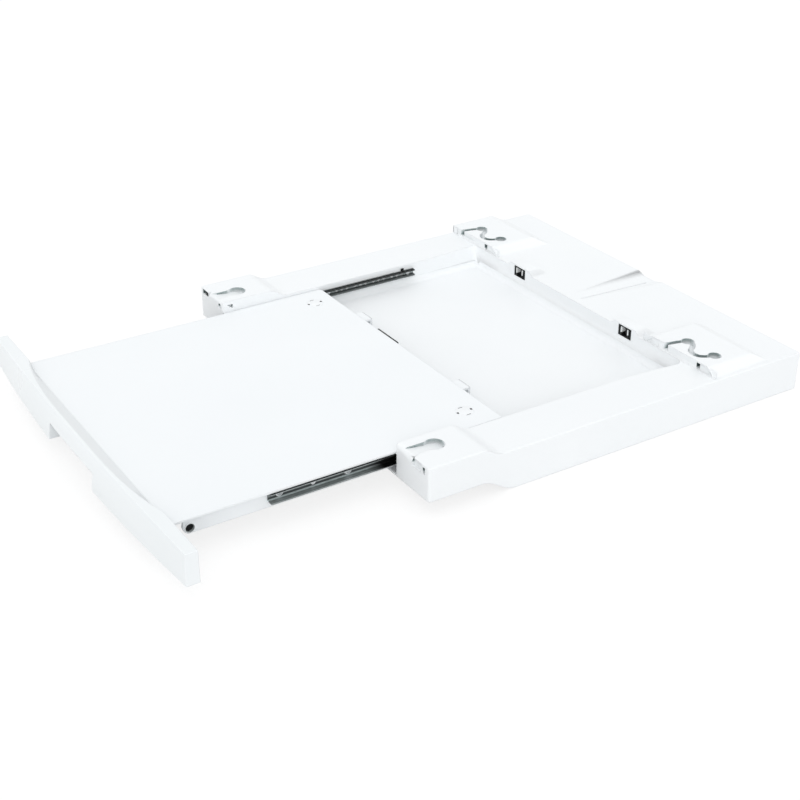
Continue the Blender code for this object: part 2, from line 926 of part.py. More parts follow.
def fascia_bores(low, high):
    bore = screw_radius + screw_bore_play
    places = [(x, fascia_screw_height) for x in fascia_screw_xs()]
    return [drum("bore", place, bore, low, high, "Y", hole_sides) for place in places]


def shelf_panel(parent):
    x = (-shelf_half, shelf_half)
    outline = rounded_rectangle(x, (shelf_front, shelf_rear), shelf_corner)
    body = prism("shelf_panel", outline, shelf_under, shelf_top)
    fuse(body, *shelf_walls(), *both_sides(shelf_side), *both_sides(tongue))
    rear = shelf_rear - shelf_rear_inset
    notch_y = (rear - shelf_wall - overrun / 2, rear + overrun)
    notch_z = (shelf_under - shelf_notch_height, shelf_under)
    cut(body, block("notch", (shelf_notch_start, shelf_notch_end), notch_y, notch_z))
    cut_apart(body, both_sides(front_gap))
    cut(body, *cap_bores())
    cut_apart(body, both_sides(plug_bore))
    start = shelf_rail_end - rail_length
    low = side_face - screw_length
    bores = rail_screw_bores(shelf_screw_places, start, low, side_face + overrun)
    cut_apart(body, bores + [mirrored(bore, "bore_left") for bore in bores])
    cut_apart(body, fascia_bores(shelf_front - overrun, shelf_front + shelf_wall + overrun))
    seat_object(body, white_plastic("shelf_plastic"), parent)


def snap_cap():
    """A flat round cap with four dimples and a stem."""
    centre = (cap_side, shelf_rear - cap_setback)
    low = shelf_top - cap_seat + seat
    high = shelf_top + cap_proud
    profile = [(cap_stem_radius, low - cap_stem_length), (cap_stem_radius, low), (cap_radius, low)]
    profile += [(cap_radius, high - cap_proud), (cap_radius - cap_proud, high)]
    body = turned("cap", centre, profile, "Z")
    dimples = []
    ends = (high - cap_dimple_depth, high + overrun)
    for i in range(cap_dimples):
        turn = 2 * math.pi * (i + 0.5) / cap_dimples
        x = centre[0] + cap_dimple_circle * math.cos(turn)
        y = centre[1] + cap_dimple_circle * math.sin(turn)
        dimples.append(drum("dimple", (x, y), cap_dimple_radius, *ends, "Z", hole_sides))
    cut_apart(body, dimples)
    return body


def bumper_plug():
    """A round plug pushed into the front end of a side wall."""
    start = side_face - plug_length + seat
    head = side_face + seat
    profile = [(plug_radius, start), (plug_radius, head), (plug_head_radius, head)]
    profile += [(plug_head_radius, head + plug_head / 2)]
    profile += [(plug_head_radius - plug_head / 2, head + plug_head)]
    return turned("plug", plug_centre(), profile, "X")


# Fascia


def fascia_front(x, height):
    """Where the bowed, leaning front face lies at a place across and up the fascia."""
    middle = 1 - (x / half_width) ** 2
    lean = fascia_end_lean + (fascia_lean - fascia_end_lean) * middle
    bottom = fascia_back - fascia_end_depth - fascia_bow * middle
    return bottom + lean * (height / fascia_height) ** 2


def scoop_ridge(x):
    """The front edge of the slope from the fascia's top down to the shelf."""
    share = min(abs(x) / (shelf_half - scoop_inset), 1)
    return fascia_back - scoop_depth * (1 - share ** scoop_power)


def fascia_section(x):
    ring = [(fascia_back, fascia_base)]
    for i in range(fascia_front_steps + 1):
        height = fascia_height * i / fascia_front_steps
        ring.append((fascia_front(x, height), fascia_base + height))
    ring += [(scoop_ridge(x), fascia_base + fascia_height), (fascia_back, shelf_top)]
    return [(x, y, z) for y, z in ring]


def fascia_pocket(start, end):
    """A hollow in the back of the fascia whose front follows the bow."""
    low = fascia_base + fascia_wall
    high = fascia_base + fascia_pocket_height
    rings = []
    for i in range(arc_steps + 1):
        x = start + (end - start) * i / arc_steps
        ring = [(fascia_back + overrun, low), (fascia_front(x, low) + fascia_wall, low)]
        ring += [(fascia_front(x, high) + fascia_wall, high), (fascia_back + overrun, high)]
        rings.append([(x, y, z) for y, z in ring])
    return loft("pocket", rings)


def fascia_pockets():
    inner, outer = fascia_screw_xs()[2:]
    boss = fascia_boss / 2 + screw_radius
    stretches = [(inner + boss, outer - boss), (outer + boss, half_width - fascia_wall)]
    pockets = []
    for start, end in stretches:
        middle = (start + end) / 2
        for low, high in ((start, middle - fascia_rib / 2), (middle + fascia_rib / 2, end)):
            pockets.append(fascia_pocket(low, high))
    return pockets


def fascia(parent):
    shares = [2 * i / fascia_stations - 1 for i in range(fascia_stations + 1)]
    body = loft("shelf_fascia", [fascia_section(half_width * share) for share in shares])
    pockets = fascia_pockets()
    cut_apart(body, pockets + [mirrored(pocket, "pocket_left") for pocket in pockets])
    x = (-grip_width / 2, grip_width / 2)
    grip = rounded_rectangle(x, (fascia_base - overrun, fascia_base + grip_height), grip_corner)
    front = fascia_back - fascia_end_depth - fascia_bow - overrun
    cut(body, prism("grip", grip, front, fascia_back + overrun, "Y"))
    cut_apart(body, fascia_bores(fascia_back - fascia_screw_length, fascia_back + overrun))
    seat_object(body, white_plastic("fascia_plastic"), parent, smooth=True)


# Slides


def shelf_rail():
    """The C-shaped rail on the shelf's side wall, open to the outside, with turned-in lips."""
    web = side_face + seat + rail_steel / 2
    reach = side_face + rail_reach - rail_steel / 2
    half = (rail_height - rail_steel) / 2
    upper = [(reach, half - rail_lip), (reach, half), (web, half)]
    path = [(x, rail_centre + z) for x, z in upper] + [(x, rail_centre - z) for x, z in reversed(upper)]
    start = shelf_rail_end - rail_length
    body = prism("rail", band_outline(path, rail_steel), start, shelf_rail_end, "Y")
    holes = []
    screw_holes = tuple((place, screw_radius + screw_bore_play) for place in shelf_screw_places)
    for place, radius in shelf_rail_holes + screw_holes:
        holes.append(drum("hole", (start + place, rail_centre), radius, side_face - overrun / 2,
                          web + rail_steel, "X", hole_sides))
    cut_apart(body, holes)
    return body


def fixed_rail_path():
    """The middle line of the fixed rail: a web on the bay wall and two grooved flanges."""
    web = wall_face - rail_steel / 2
    end = cage_web + cage_steel / 2 + running
    half = (fixed_rail_height - rail_steel) / 2
    floor = half - groove_depth
    groove = (ball_line - groove_width / 2, ball_line + groove_width / 2)
    upper = [(end, half), (groove[0] - groove_slope, half), (groove[0], floor)]
    upper += [(groove[1], floor), (groove[1] + groove_slope, half), (web, half)]
    return [(x, rail_centre + z) for x, z in upper] + [(x, rail_centre - z) for x, z in reversed(upper)]


def fixed_rail():
    """The rail on the bay wall, which runs inside the shelf rail."""
    end = fixed_rail_start + rail_length
    body = prism("rail", band_outline(fixed_rail_path(), rail_steel), fixed_rail_start, end, "Y")
    places = []
    for triplet in range(hole_triplets):
        middle = rail_length - hole_end - hole_step - triplet * hole_pitch
        places += [(middle + step * hole_step, hole_radius) for step in (-1, 0, 1)]
    places += [(place, screw_radius + screw_bore_play) for place in fixed_screw_places]
    holes = []
    for place, radius in places:
        holes.append(drum("hole", (fixed_rail_start + place, rail_centre), radius, wall_face - rail_steel * 2,
                          wall_face + overrun, "X", hole_sides))
    cut_apart(body, holes)
    return body


def ball(place):
    shape = bmesh.new()
    bmesh.ops.create_icosphere(shape, subdivisions=2, radius=ball_radius)
    bmesh.ops.translate(shape, verts=shape.verts, vec=Vector(place))
    mesh = bpy.data.meshes.new("ball")
    shape.to_mesh(mesh)
    shape.free()
    body = bpy.data.objects.new("ball", mesh)
    bpy.context.scene.collection.objects.link(body)
    return body


def ball_cage():
    """The U-shaped strip that carries a row of balls above and a row below the fixed rail."""
    half = (cage_height - cage_steel) / 2
    arm = cage_web + cage_arm
    path = [(arm, half), (cage_web, half), (cage_web, -half), (arm, -half)]
    outline = band_outline([(x, rail_centre + z) for x, z in path], cage_steel)
    body = prism("cage", outline, cage_start, cage_end, "Y")
    balls = []
    for side in (-1, 1):
        for i in range(balls_per_row):
            run = cage_end - cage_start - 2 * ball_margin
            y = cage_start + ball_margin + run * i / (balls_per_row - 1)
            balls.append(ball((ball_line, y, rail_centre + side * ball_level)))
    fuse(body, join_meshes(balls))
    return body


def rail_clip():
    """The black clip above the rear end of a fixed rail."""
    low = rail_centre + fixed_rail_height / 2 + seat
    y = fixed_rail_start + rail_length - clip_setback
    return block("clip", (wall_face - clip_depth, wall_face), (y - clip_length, y), (low, low + clip_height))


def screw(name, head_level, direction, centre, axis, length, head=screw_head):
    """A pan-head screw whose head's underside lies at head_level and whose shank runs along direction."""
    crown = head_level - direction * head
    profile = [(screw_head_radius - head / 2, crown), (screw_head_radius, crown + direction * head / 2)]
    profile += [(screw_head_radius, head_level), (screw_radius, head_level)]
    profile += [(screw_radius, head_level + direction * (length - screw_radius))]
    profile += [(screw_radius / 2, head_level + direction * length)]
    return turned(name, centre, profile, axis, screw_sides)


def shelf_rail_screws():
    level = side_face + seat + rail_steel + seat
    start = shelf_rail_end - rail_length
    centres = [(start + place, rail_centre) for place in shelf_screw_places]
    return [screw("screw", level, -1, centre, "X", screw_length) for centre in centres]


def fixed_rail_screws():
    level = wall_face - rail_steel - seat
    centres = [(fixed_rail_start + place, rail_centre) for place in fixed_screw_places]
    return [screw("screw", level, 1, centre, "X", screw_length) for centre in centres]


# Catches


def catch_body():
    """The catch housing with its open-fronted cavity."""
    half = catch_width / 2
    x = (catch_half_spread - half, catch_half_spread + half)
    z = (catch_base, catch_base + catch_height)
    body = block("catch", x, (bay_depth, bay_depth + catch_depth), z)
    inner = pole_spacing / 2 + pole_thickness + seat
    inner_x = (catch_half_spread - inner, catch_half_spread + inner)
    inner_z = (z[0] + catch_wall, z[1] - catch_wall)
    cut(body, block("cavity", inner_x, (bay_depth - overrun, bay_depth + catch_depth - catch_wall), inner_z))
    return body


def catch_room():
    """How far the pieces in the cavity reach back, and their low and high ends."""
    rear = bay_depth + catch_depth - catch_wall - seat
    return rear, (catch_base + catch_wall + seat, catch_base + catch_height - catch_wall - seat)


def pole_plate(side):
    rear, z = catch_room()
    near = catch_half_spread + side * pole_spacing / 2
    x = sorted((near, near + side * pole_thickness))
    return block("pole", x, (bay_depth - pole_proud, rear), z)


def catch_magnet():
    rear, z = catch_room()
    half = pole_spacing / 2 - seat
    x = (catch_half_spread - half, catch_half_spread + half)
    return block("magnet", x, (rear - magnet_depth, rear), z)


def strike_plate():
    top = shelf_top - tongue_drop
    front = shelf_rear + tongue_reach + seat
    x = (catch_half_spread - strike_width / 2, catch_half_spread + strike_width / 2)
    body = block("strike", x, (front, front + strike_thickness), (top - strike_height, top))
    centre = (catch_half_spread, top - strike_height / 2 - tongue_thickness / 2)
    cut(body, drum("bore", centre, rivet_radius + seat, front - overrun, front + overrun, "Y", hole_sides))
    return body


def strike_rivet():
    """The rivet through the strike plate and the tongue's lip, a head on both sides."""
    top = shelf_top - tongue_drop
    centre = (catch_half_spread, top - strike_height / 2 - tongue_thickness / 2)
    front = shelf_rear + tongue_reach - tongue_lip - seat
    rear = shelf_rear + tongue_reach + seat + strike_thickness + seat
    crown = rivet_head_radius - rivet_head / 2
    profile = [(crown, front - rivet_head), (rivet_head_radius, front - rivet_head / 2)]
    profile += [(rivet_head_radius, front), (rivet_radius, front)]
    profile += [(rivet_radius, rear), (rivet_head_radius, rear)]
    profile += [(rivet_head_radius, rear + rivet_head / 2), (crown, rear + rivet_head)]
    return turned("rivet", centre, profile, "Y", screw_sides)


# Assembly


def pair(name, maker, material, parents, smooth=False):
    """One piece on the right and its mirror image on the left."""
    right = maker()
    right.name = name + "_right"
    left = mirrored(right, name + "_left")
    seat_object(right, material, parents[0], smooth)
    seat_object(left, material.copy(), parents[1], smooth)


def numbered_pairs(name, bodies, material, parent):
    """Several like pieces on the right, numbered from the front, and their mirror images."""
    for number, right in enumerate(bodies, 1):
        right.name = f"{name}_right_{number}"
        left = mirrored(right, f"{name}_left_{number}")
        seat_object(right, material.copy(), parent, True)
        seat_object(left, material.copy(), parent, True)


def build():
    clear_scene()
    frame = empty("kit_frame", (0, -base_depth / 2, 0))
    shelf = empty("shelf_axis", (0, 0, rail_centre), frame)
    cages = [empty("cage_axis_" + name, (side * ball_line, 0, rail_centre), frame)
             for name, side in (("right", 1), ("left", -1))]
    base_tray(frame)
    pair("fixed_rail", fixed_rail, dark_steel("fixed_rail_steel"), (frame, frame))
    pair("rail_clip", rail_clip, black_plastic("clip_plastic"), (frame, frame))
    numbered_pairs("fixed_rail_screw", fixed_rail_screws(), bright_steel("screw_steel"), frame)
    pair("catch_body", catch_body, black_plastic("catch_plastic"), (frame, frame))
    pair("catch_magnet", catch_magnet, finish("magnet_ferrite", (0.05, 0.05, 0.055), 0.7), (frame, frame))
    pair("pole_plate_outer", lambda: pole_plate(1), bright_steel("pole_steel"), (frame, frame))
    pair("pole_plate_inner", lambda: pole_plate(-1), bright_steel("pole_steel"), (frame, frame))
    shelf_panel(shelf)
    fascia(shelf)
    pair("shelf_rail", shelf_rail, dark_steel("shelf_rail_steel"), (shelf, shelf))
    numbered_pairs("shelf_rail_screw", shelf_rail_screws(), bright_steel("screw_steel"), shelf)
    pair("snap_cap", snap_cap, white_plastic("cap_plastic"), (shelf, shelf), True)
    pair("bumper_plug", bumper_plug, black_plastic("plug_rubber"), (shelf, shelf), True)
    pair("strike_plate", strike_plate, bright_steel("strike_steel"), (shelf, shelf))
    pair("strike_rivet", strike_rivet, bright_steel("rivet_steel"), (shelf, shelf), True)
    fascia_screws(shelf)
    pair("ball_cage", ball_cage, bright_steel("cage_steel"), cages, True)


def fascia_screws(parent):
    """The screws through the shelf's front wall into the fascia's bosses."""
    level = shelf_front + shelf_wall + seat
    length = shelf_wall + fascia_screw_length - seat
    for number, x in enumerate(fascia_screw_xs(), 1):
        body = screw("screw", level, -1, (x, fascia_screw_height), "Y", length, fascia_screw_head)
        body.name = f"fascia_screw_{number}"
        seat_object(body, bright_steel("screw_steel"), parent, True)


build()
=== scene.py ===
import json
import math

import bmesh
import bpy
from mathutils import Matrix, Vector


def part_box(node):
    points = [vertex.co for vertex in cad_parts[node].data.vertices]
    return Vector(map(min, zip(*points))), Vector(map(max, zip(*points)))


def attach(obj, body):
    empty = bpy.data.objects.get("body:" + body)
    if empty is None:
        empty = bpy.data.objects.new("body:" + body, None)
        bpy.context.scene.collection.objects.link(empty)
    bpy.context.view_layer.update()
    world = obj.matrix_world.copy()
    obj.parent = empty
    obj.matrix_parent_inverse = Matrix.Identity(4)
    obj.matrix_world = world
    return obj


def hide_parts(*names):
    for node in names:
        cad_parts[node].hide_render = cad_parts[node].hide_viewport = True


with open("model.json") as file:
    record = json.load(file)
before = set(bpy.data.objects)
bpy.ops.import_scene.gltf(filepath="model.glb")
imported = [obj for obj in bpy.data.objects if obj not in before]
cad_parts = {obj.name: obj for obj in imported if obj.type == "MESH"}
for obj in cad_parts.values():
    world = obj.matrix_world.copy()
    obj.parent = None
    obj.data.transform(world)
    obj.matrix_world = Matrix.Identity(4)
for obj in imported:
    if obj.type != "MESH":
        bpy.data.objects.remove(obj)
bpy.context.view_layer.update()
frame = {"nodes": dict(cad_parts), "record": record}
slotOf = {entry["node"]: entry["material_slot"] for entry in frame["record"]["subparts"]}
bodyOf = {node: body for body, nodes in frame["record"]["behaviour"]["bodies"].items() for node in nodes}
print("frame loaded")


# Working in edit mode

def deselectAll():
    if bpy.context.object and bpy.context.object.mode != "OBJECT":
        bpy.ops.object.mode_set(mode="OBJECT")
    bpy.ops.object.select_all(action="DESELECT")


def takeHold(piece):
    deselectAll()
    piece.select_set(True)
    bpy.context.view_layer.objects.active = piece


def editAll(piece):
    takeHold(piece)
    bpy.ops.object.mode_set(mode="EDIT")
    bpy.ops.mesh.select_all(action="SELECT")


def pick(piece, kind, test):  # the vertices, edges or faces that pass the test
    takeHold(piece)
    bpy.ops.object.mode_set(mode="EDIT")
    bpy.ops.mesh.select_mode(type=kind)
    bpy.ops.mesh.select_all(action="DESELECT")
    shape = bmesh.from_edit_mesh(piece.data)
    for part in {"VERT": shape.verts, "EDGE": shape.edges, "FACE": shape.faces}[kind]:
        part.select_set(test(part))
    bmesh.update_edit_mesh(piece.data)


def backToObject():
    bpy.ops.object.mode_set(mode="OBJECT")


# Shaping whole pieces

def newest(name):
    piece = bpy.context.object
    piece.name = name
    piece.data.name = name
    return piece


def settle(piece):
    takeHold(piece)
    bpy.ops.object.transform_apply(location=True, rotation=True, scale=True)


def smooth(piece, degrees):
    takeHold(piece)
    bpy.ops.object.shade_smooth_by_angle(angle=math.radians(degrees))


def applyModifier(piece, kind, **settings):
    takeHold(piece)
    change = piece.modifiers.new(kind.lower(), kind)
    for key, value in settings.items():
        setattr(change, key, value)
    bpy.ops.object.modifier_apply(modifier=change.name)


def cutAway(piece, *tools):
    for tool in tools:
        applyModifier(piece, "BOOLEAN", object=tool, operation="DIFFERENCE", solver="EXACT")
        bpy.data.objects.remove(tool)


def soften(piece, width, segments=3, degrees=35.0, sharp=30.0, **settings):
    applyModifier(piece, "BEVEL", width=width, segments=segments, limit_method="ANGLE",
                  angle_limit=math.radians(sharp), **settings)
    smooth(piece, degrees)


def evenNormals(piece, weight=50):
    applyModifier(piece, "WEIGHTED_NORMAL", keep_sharp=True, weight=weight)


def joinAll(pieces, name):
    deselectAll()
    for piece in pieces:
        piece.select_set(True)
    bpy.context.view_layer.objects.active = pieces[0]
    bpy.ops.object.join()
    return newest(name)


def addBlock(name, x, y, z):  # from low to high on each axis
    deselectAll()
    spans = (x, y, z)
    middle = [(low + high) / 2 for low, high in spans]
    bpy.ops.mesh.primitive_cube_add(size=1.0, location=middle, scale=[high - low for low, high in spans])
    piece = newest(name)
    settle(piece)
    return piece


def addSoftBlock(name, shape, segments=2):
    piece = addBlock(name, shape["x"], shape["y"], shape["z"])
    soften(piece, shape["edge"], segments)
    return piece


def addDrum(name, centre, radius, depth, sides=32, axis="X"):
    deselectAll()
    turn = {"X": (0.0, math.pi / 2, 0.0), "Y": (math.pi / 2, 0.0, 0.0), "Z": (0.0, 0.0, 0.0)}[axis]
    bpy.ops.mesh.primitive_cylinder_add(vertices=sides, radius=radius, depth=depth, location=centre,
                                        rotation=turn)
    piece = newest(name)
    settle(piece)
    return piece


def addRing(name, centre, outer, inner, face, depth, sides=40):  # round the X axis, its front at face
    ring = addDrum(name, (face - depth / 2, *centre), outer, depth, sides)
    cutAway(ring, addDrum("ringBore", (face, *centre), inner, depth * 4, sides))  # passes right through
    return ring


def copyOf(piece, name):
    twin = bpy.data.objects.new(name, piece.data.copy())
    bpy.context.scene.collection.objects.link(twin)
    return twin


def copyTo(piece, name, place, turn=0.0):  # moved, and turned about the upright axis
    twin = copyOf(piece, name)
    twin.rotation_euler = (0, 0, turn)
    twin.location = place
    settle(twin)
    return twin


def flipped(piece, name):  # the same piece on the other side of the middle
    twin = copyOf(piece, name)
    twin.scale = (-1.0, 1.0, 1.0)
    settle(twin)
    editAll(twin)
    bpy.ops.mesh.normals_make_consistent(inside=False)
    backToObject()
    return twin


def middleOf(node):
    low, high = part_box(node)
    return [(a + b) / 2 for a, b in zip(low, high)]


# Shader nodes

def fillInputs(tree, node, inputs):  # each input takes a value or another node's socket
    for key, value in inputs.items():
        if isinstance(value, bpy.types.NodeSocket):
            tree.links.new(value, node.inputs[key])
        else:
            node.inputs[key].default_value = value


def addNode(tree, kind, x, y, inputs=None, **settings):
    node = tree.nodes.new(kind)
    node.location = (x, y)
    for key, value in settings.items():
        setattr(node, key, value)
    fillInputs(tree, node, inputs or {})
    return node


def mathNode(tree, kind, values, x, y):
    return addNode(tree, "ShaderNodeMath", x, y, dict(enumerate(values)), operation=kind).outputs["Value"]


def spread(tree, value, low, high, x, y, start=0.3, end=0.7):  # noise seldom leaves 0.3 to 0.7
    reach = {"Value": value, "From Min": start, "From Max": end, "To Min": low, "To Max": high}
    return addNode(tree, "ShaderNodeMapRange", x, y, reach).outputs["Result"]


def mixColour(tree, factor, first, second, x, y, blend="MIX"):
    colours = [(*colour, 1.0) if isinstance(colour, tuple) else colour for colour in (first, second)]
    mix = addNode(tree, "ShaderNodeMix", x, y, {"Factor": factor, "A": colours[0], "B": colours[1]},
                  data_type="RGBA", blend_type=blend)
    return mix.outputs["Result"]


def scaled(tree, tone, factor, x, y):
    inputs = {0: tone, "Scale": factor}
    return addNode(tree, "ShaderNodeVectorMath", x, y, inputs, operation="SCALE").outputs["Vector"]


def startGroup(name, inputs, outputs):
    group = bpy.data.node_groups.new(name, "ShaderNodeTree")
    group.interface.new_socket(name="Vector", in_out="INPUT", socket_type="NodeSocketVector")
    for label, value in inputs.items():
        entry = group.interface.new_socket(name=label, in_out="INPUT", socket_type="NodeSocketFloat")
        entry.default_value = value
    for label in outputs:
        group.interface.new_socket(name=label, in_out="OUTPUT", socket_type="NodeSocketFloat")
    return group


def startMaterial(name):
    material = bpy.data.materials.new(name)
    material.use_nodes = True
    tree = material.node_tree
    place = addNode(tree, "ShaderNodeTexCoord", -1300, 0).outputs["Object"]
    return material, tree, tree.nodes["Principled BSDF"], place


# Textures that the finishes share

skinTexture = {
    "grainScale": 1500.0, "grainDetail": 3.0, "grainRoughness": 0.62, "pitShare": 0.35,
    "mottleScale": 7.0, "mottleDetail": 4.0,
    "dustScale": 320.0, "dustDetail": 2.0, "dustRange": (0.66, 0.80),
}
metalTexture = {
    "streakScale": 900.0, "streakDetail": 4.0, "stretch": (1.0, 0.02, 1.0),
    "stainScale": 90.0, "stainDetail": 5.0,
}


def mouldedSkin():  # fine spark grain, slow mottle and specks of dust on moulded plastic
    s = skinTexture
    scales = {"Grain Scale": s["grainScale"], "Mottle Scale": s["mottleScale"]}
    group = startGroup("mouldedSkin", scales, ("Height", "Mottle", "Dust"))
    given = addNode(group, "NodeGroupInput", -900, 0).outputs
    grain = addNode(group, "ShaderNodeTexNoise", -600, 200, {
        "Vector": given["Vector"], "Scale": given["Grain Scale"],
        "Detail": s["grainDetail"], "Roughness": s["grainRoughness"],
    })
    pits = addNode(group, "ShaderNodeTexVoronoi", -600, -60, {
        "Vector": given["Vector"], "Scale": given["Grain Scale"],
    })
    mottle = addNode(group, "ShaderNodeTexNoise", -600, -320, {
        "Vector": given["Vector"], "Scale": given["Mottle Scale"], "Detail": s["mottleDetail"],
    })
    dust = addNode(group, "ShaderNodeTexNoise", -600, -580, {
        "Vector": given["Vector"], "Scale": s["dustScale"], "Detail": s["dustDetail"],
    })
    layers = (pits.outputs["Distance"], s["pitShare"], grain.outputs["Fac"])
    addNode(group, "NodeGroupOutput", 500, 0, {
        "Height": mathNode(group, "MULTIPLY_ADD", layers, -200, 120),
        "Mottle": mottle.outputs["Fac"],
        "Dust": spread(group, dust.outputs["Fac"], 0.0, 1.0, -200, -560, *s["dustRange"]),
    })
    return group


def drawnMetal():  # streaks along the length of rolled steel, with small stains
    s = metalTexture
    group = startGroup("drawnMetal", {"Streak Scale": s["streakScale"]}, ("Streak", "Stain"))
    given = addNode(group, "NodeGroupInput", -900, 0).outputs
    along = addNode(group, "ShaderNodeMapping", -650, 120, {"Vector": given["Vector"], "Scale": s["stretch"]})
    streak = addNode(group, "ShaderNodeTexNoise", -350, 120, {
        "Vector": along.outputs["Vector"], "Scale": given["Streak Scale"], "Detail": s["streakDetail"],
    })
    stain = addNode(group, "ShaderNodeTexNoise", -350, -180, {
        "Vector": given["Vector"], "Scale": s["stainScale"], "Detail": s["stainDetail"],
    })
    addNode(group, "NodeGroupOutput", 400, 0, {
        "Streak": streak.outputs["Fac"], "Stain": stain.outputs["Fac"],
    })
    return group


skinGroup = mouldedSkin()
metalGroup = drawnMetal()


# Plastic finishes

shadeSamples = {"hollow": 8, "edge": 6}


def wallShift(tree, raised, s):  # painted deeper shade on raised walls that face the front right
    normal = addNode(tree, "ShaderNodeNewGeometry", -1200, 960).outputs["Normal"]
    sides = {0: normal, 1: s["side"]}
    toward = addNode(tree, "ShaderNodeVectorMath", -1000, 960, sides, operation="DOT_PRODUCT")
    other, facing = s["other"] - s["low"], s["facing"] - s["low"]
    walls = spread(tree, toward.outputs["Value"], other, facing, -800, 960, 0.0, s["turned"])
    return mathNode(tree, "MULTIPLY_ADD", (raised, walls, s["low"]), -640, 860)


def slotFade(tree, part, raised, s):  # in the keyholes and the slots the painted shade fades towards the floor
    inside = 0.0
    for kind, edge in s["along"]:
        past = spread(tree, part["Y"], 0.0, 1.0, -480, 1300, edge, edge + s["blend"])
        inside = mathNode(tree, kind, (inside, past), -320, 1300)
    fall = spread(tree, part["Z"], 1.0 - s["least"], 0.0, -640, 1160, *s["height"])
    reach = mathNode(tree, "MULTIPLY", (inside, raised), -160, 1200)
    amount = mathNode(tree, "MULTIPLY", (reach, fall), -80, 1160)
    return mathNode(tree, "SUBTRACT", (1.0, amount), -40, 1060)


def paintedHollowShade(tree, place, tone, hollow):  # painted shade in holes, slots and corners, from the piece's own occlusion
    depth = addNode(tree, "ShaderNodeAmbientOcclusion", -750, 560, {"Distance": hollow["reach"]},
                    samples=shadeSamples["hollow"], only_local=True)
    level = depth.outputs["AO"]
    strength = 1.0
    if hollow.get("shift"):
        part = addNode(tree, "ShaderNodeSeparateXYZ", -1000, 760, {"Vector": place}).outputs
        raised = spread(tree, part["Z"], 0.0, 1.0, -800, 760, *hollow["raised"])
        level = mathNode(tree, "SUBTRACT", (level, wallShift(tree, raised, hollow["shift"])), -500, 700)
        strength = slotFade(tree, part, raised, hollow["fade"])
    ramp = addNode(tree, "ShaderNodeValToRGB", -340, 560, {"Fac": level})
    ramp.color_ramp.elements.new(hollow["stops"][1])
    for stop, position, shade in zip(ramp.color_ramp.elements, hollow["stops"], hollow["tones"]):
        stop.position = position
        stop.color = (*shade, 1.0)
    return mixColour(tree, strength, tone, ramp.outputs["Color"], 0, 400, "MULTIPLY")


def paintedBackShade(tree, tone, back):  # painted shade: faces that look back and up, as the scoop does, are a little darker
    normal = addNode(tree, "ShaderNodeNewGeometry", -1200, 1100).outputs["Normal"]
    facing = addNode(tree, "ShaderNodeSeparateXYZ", -1000, 1100, {"Vector": normal})
    dim = spread(tree, facing.outputs["Y"], 1.0, back["tone"], -640, 1100, *back["turn"])
    return scaled(tree, tone, dim, 120, 400)


def plasticMaterial(name, look):
    material, tree, surface, place = startMaterial(name)
    skin = addNode(tree, "ShaderNodeGroup", -1000, 0, {
        "Vector": place, "Grain Scale": look["grainScale"], "Mottle Scale": look["mottleScale"],
    }, node_tree=skinGroup).outputs
    mottle = spread(tree, skin["Mottle"], 0.0, 1.0, -750, 250)
    colour = mixColour(tree, mottle, look["colour"], look["shade"], -500, 250)
    tone = mixColour(tree, skin["Dust"], colour, look["dust"], -250, 250)
    if look.get("hollow"):
        tone = paintedHollowShade(tree, place, tone, look["hollow"])
    if look.get("back"):
        tone = paintedBackShade(tree, tone, look["back"])
    bump = addNode(tree, "ShaderNodeBump", -300, -300, {
        "Strength": look["bump"], "Distance": look["bumpDepth"], "Height": skin["Height"],
    })
    if look.get("edge"):  # the small radius that every moulded edge has
        edge = addNode(tree, "ShaderNodeBevel", -560, -400, {"Radius": look["edge"]},
                       samples=shadeSamples["edge"])
        fillInputs(tree, bump, {"Normal": edge.outputs["Normal"]})
    fillInputs(tree, surface, {
        "Base Color": tone, "Roughness": spread(tree, skin["Mottle"], *look["rough"], -500, -50),
        "Normal": bump.outputs["Normal"], "Specular IOR Level": look["specular"],
    })
    return material


trayLook = {
    "colour": (0.875, 0.893, 0.905), "shade": (0.862, 0.882, 0.896), "dust": (0.85, 0.865, 0.875),
    "grainScale": 1400.0, "mottleScale": 6.0, "rough": (0.42, 0.52),
    "bump": 0.22, "bumpDepth": 0.00006, "specular": 0.42, "edge": 0.0012,
    "hollow": {  # painted shade, from the bottom of a hole to an open face
        "reach": 0.025, "stops": (0.0, 0.08, 0.42),
        "tones": ((0.03, 0.045, 0.043), (0.19, 0.27, 0.26), (1.0, 1.0, 1.0)),
        "raised": (0.034, 0.0375),
        "shift": {"low": -0.28, "other": -0.12, "facing": 0.36, "side": (0.80, -0.60, 0.0), "turned": 0.8},
        "fade": {  # along Y it starts at the keyholes, stops at the pads' fronts and starts again behind them
            "along": (("ADD", -0.279), ("SUBTRACT", 0.140), ("ADD", 0.153)), "blend": 0.003,
            "least": 0.06, "height": (0.0365, 0.0435),
        },
    },
}
shelfLook = {
    "colour": (0.868, 0.890, 0.905), "shade": (0.852, 0.876, 0.893), "dust": (0.85, 0.865, 0.875),
    "grainScale": 1100.0, "mottleScale": 5.0, "rough": (0.38, 0.48),
    "bump": 0.26, "bumpDepth": 0.00008, "specular": 0.45, "edge": 0.0012,
    # painted shade in the shelf's corners and under its edges
    "hollow": {
        "reach": 0.006, "stops": (0.0, 0.22, 0.55),
        "tones": ((0.45, 0.48, 0.47), (0.66, 0.70, 0.69), (1.0, 1.0, 1.0)),
    },
}
fasciaLook = {
    "colour": (0.842, 0.868, 0.880), "shade": (0.832, 0.860, 0.873), "dust": (0.83, 0.85, 0.86),
    "grainScale": 1700.0, "mottleScale": 9.0, "rough": (0.26, 0.34),
    # painted shade on faces that look back and up
    "bump": 0.12, "bumpDepth": 0.00004, "specular": 0.5, "back": {"tone": 0.92, "turn": (0.10, 0.45)},
}
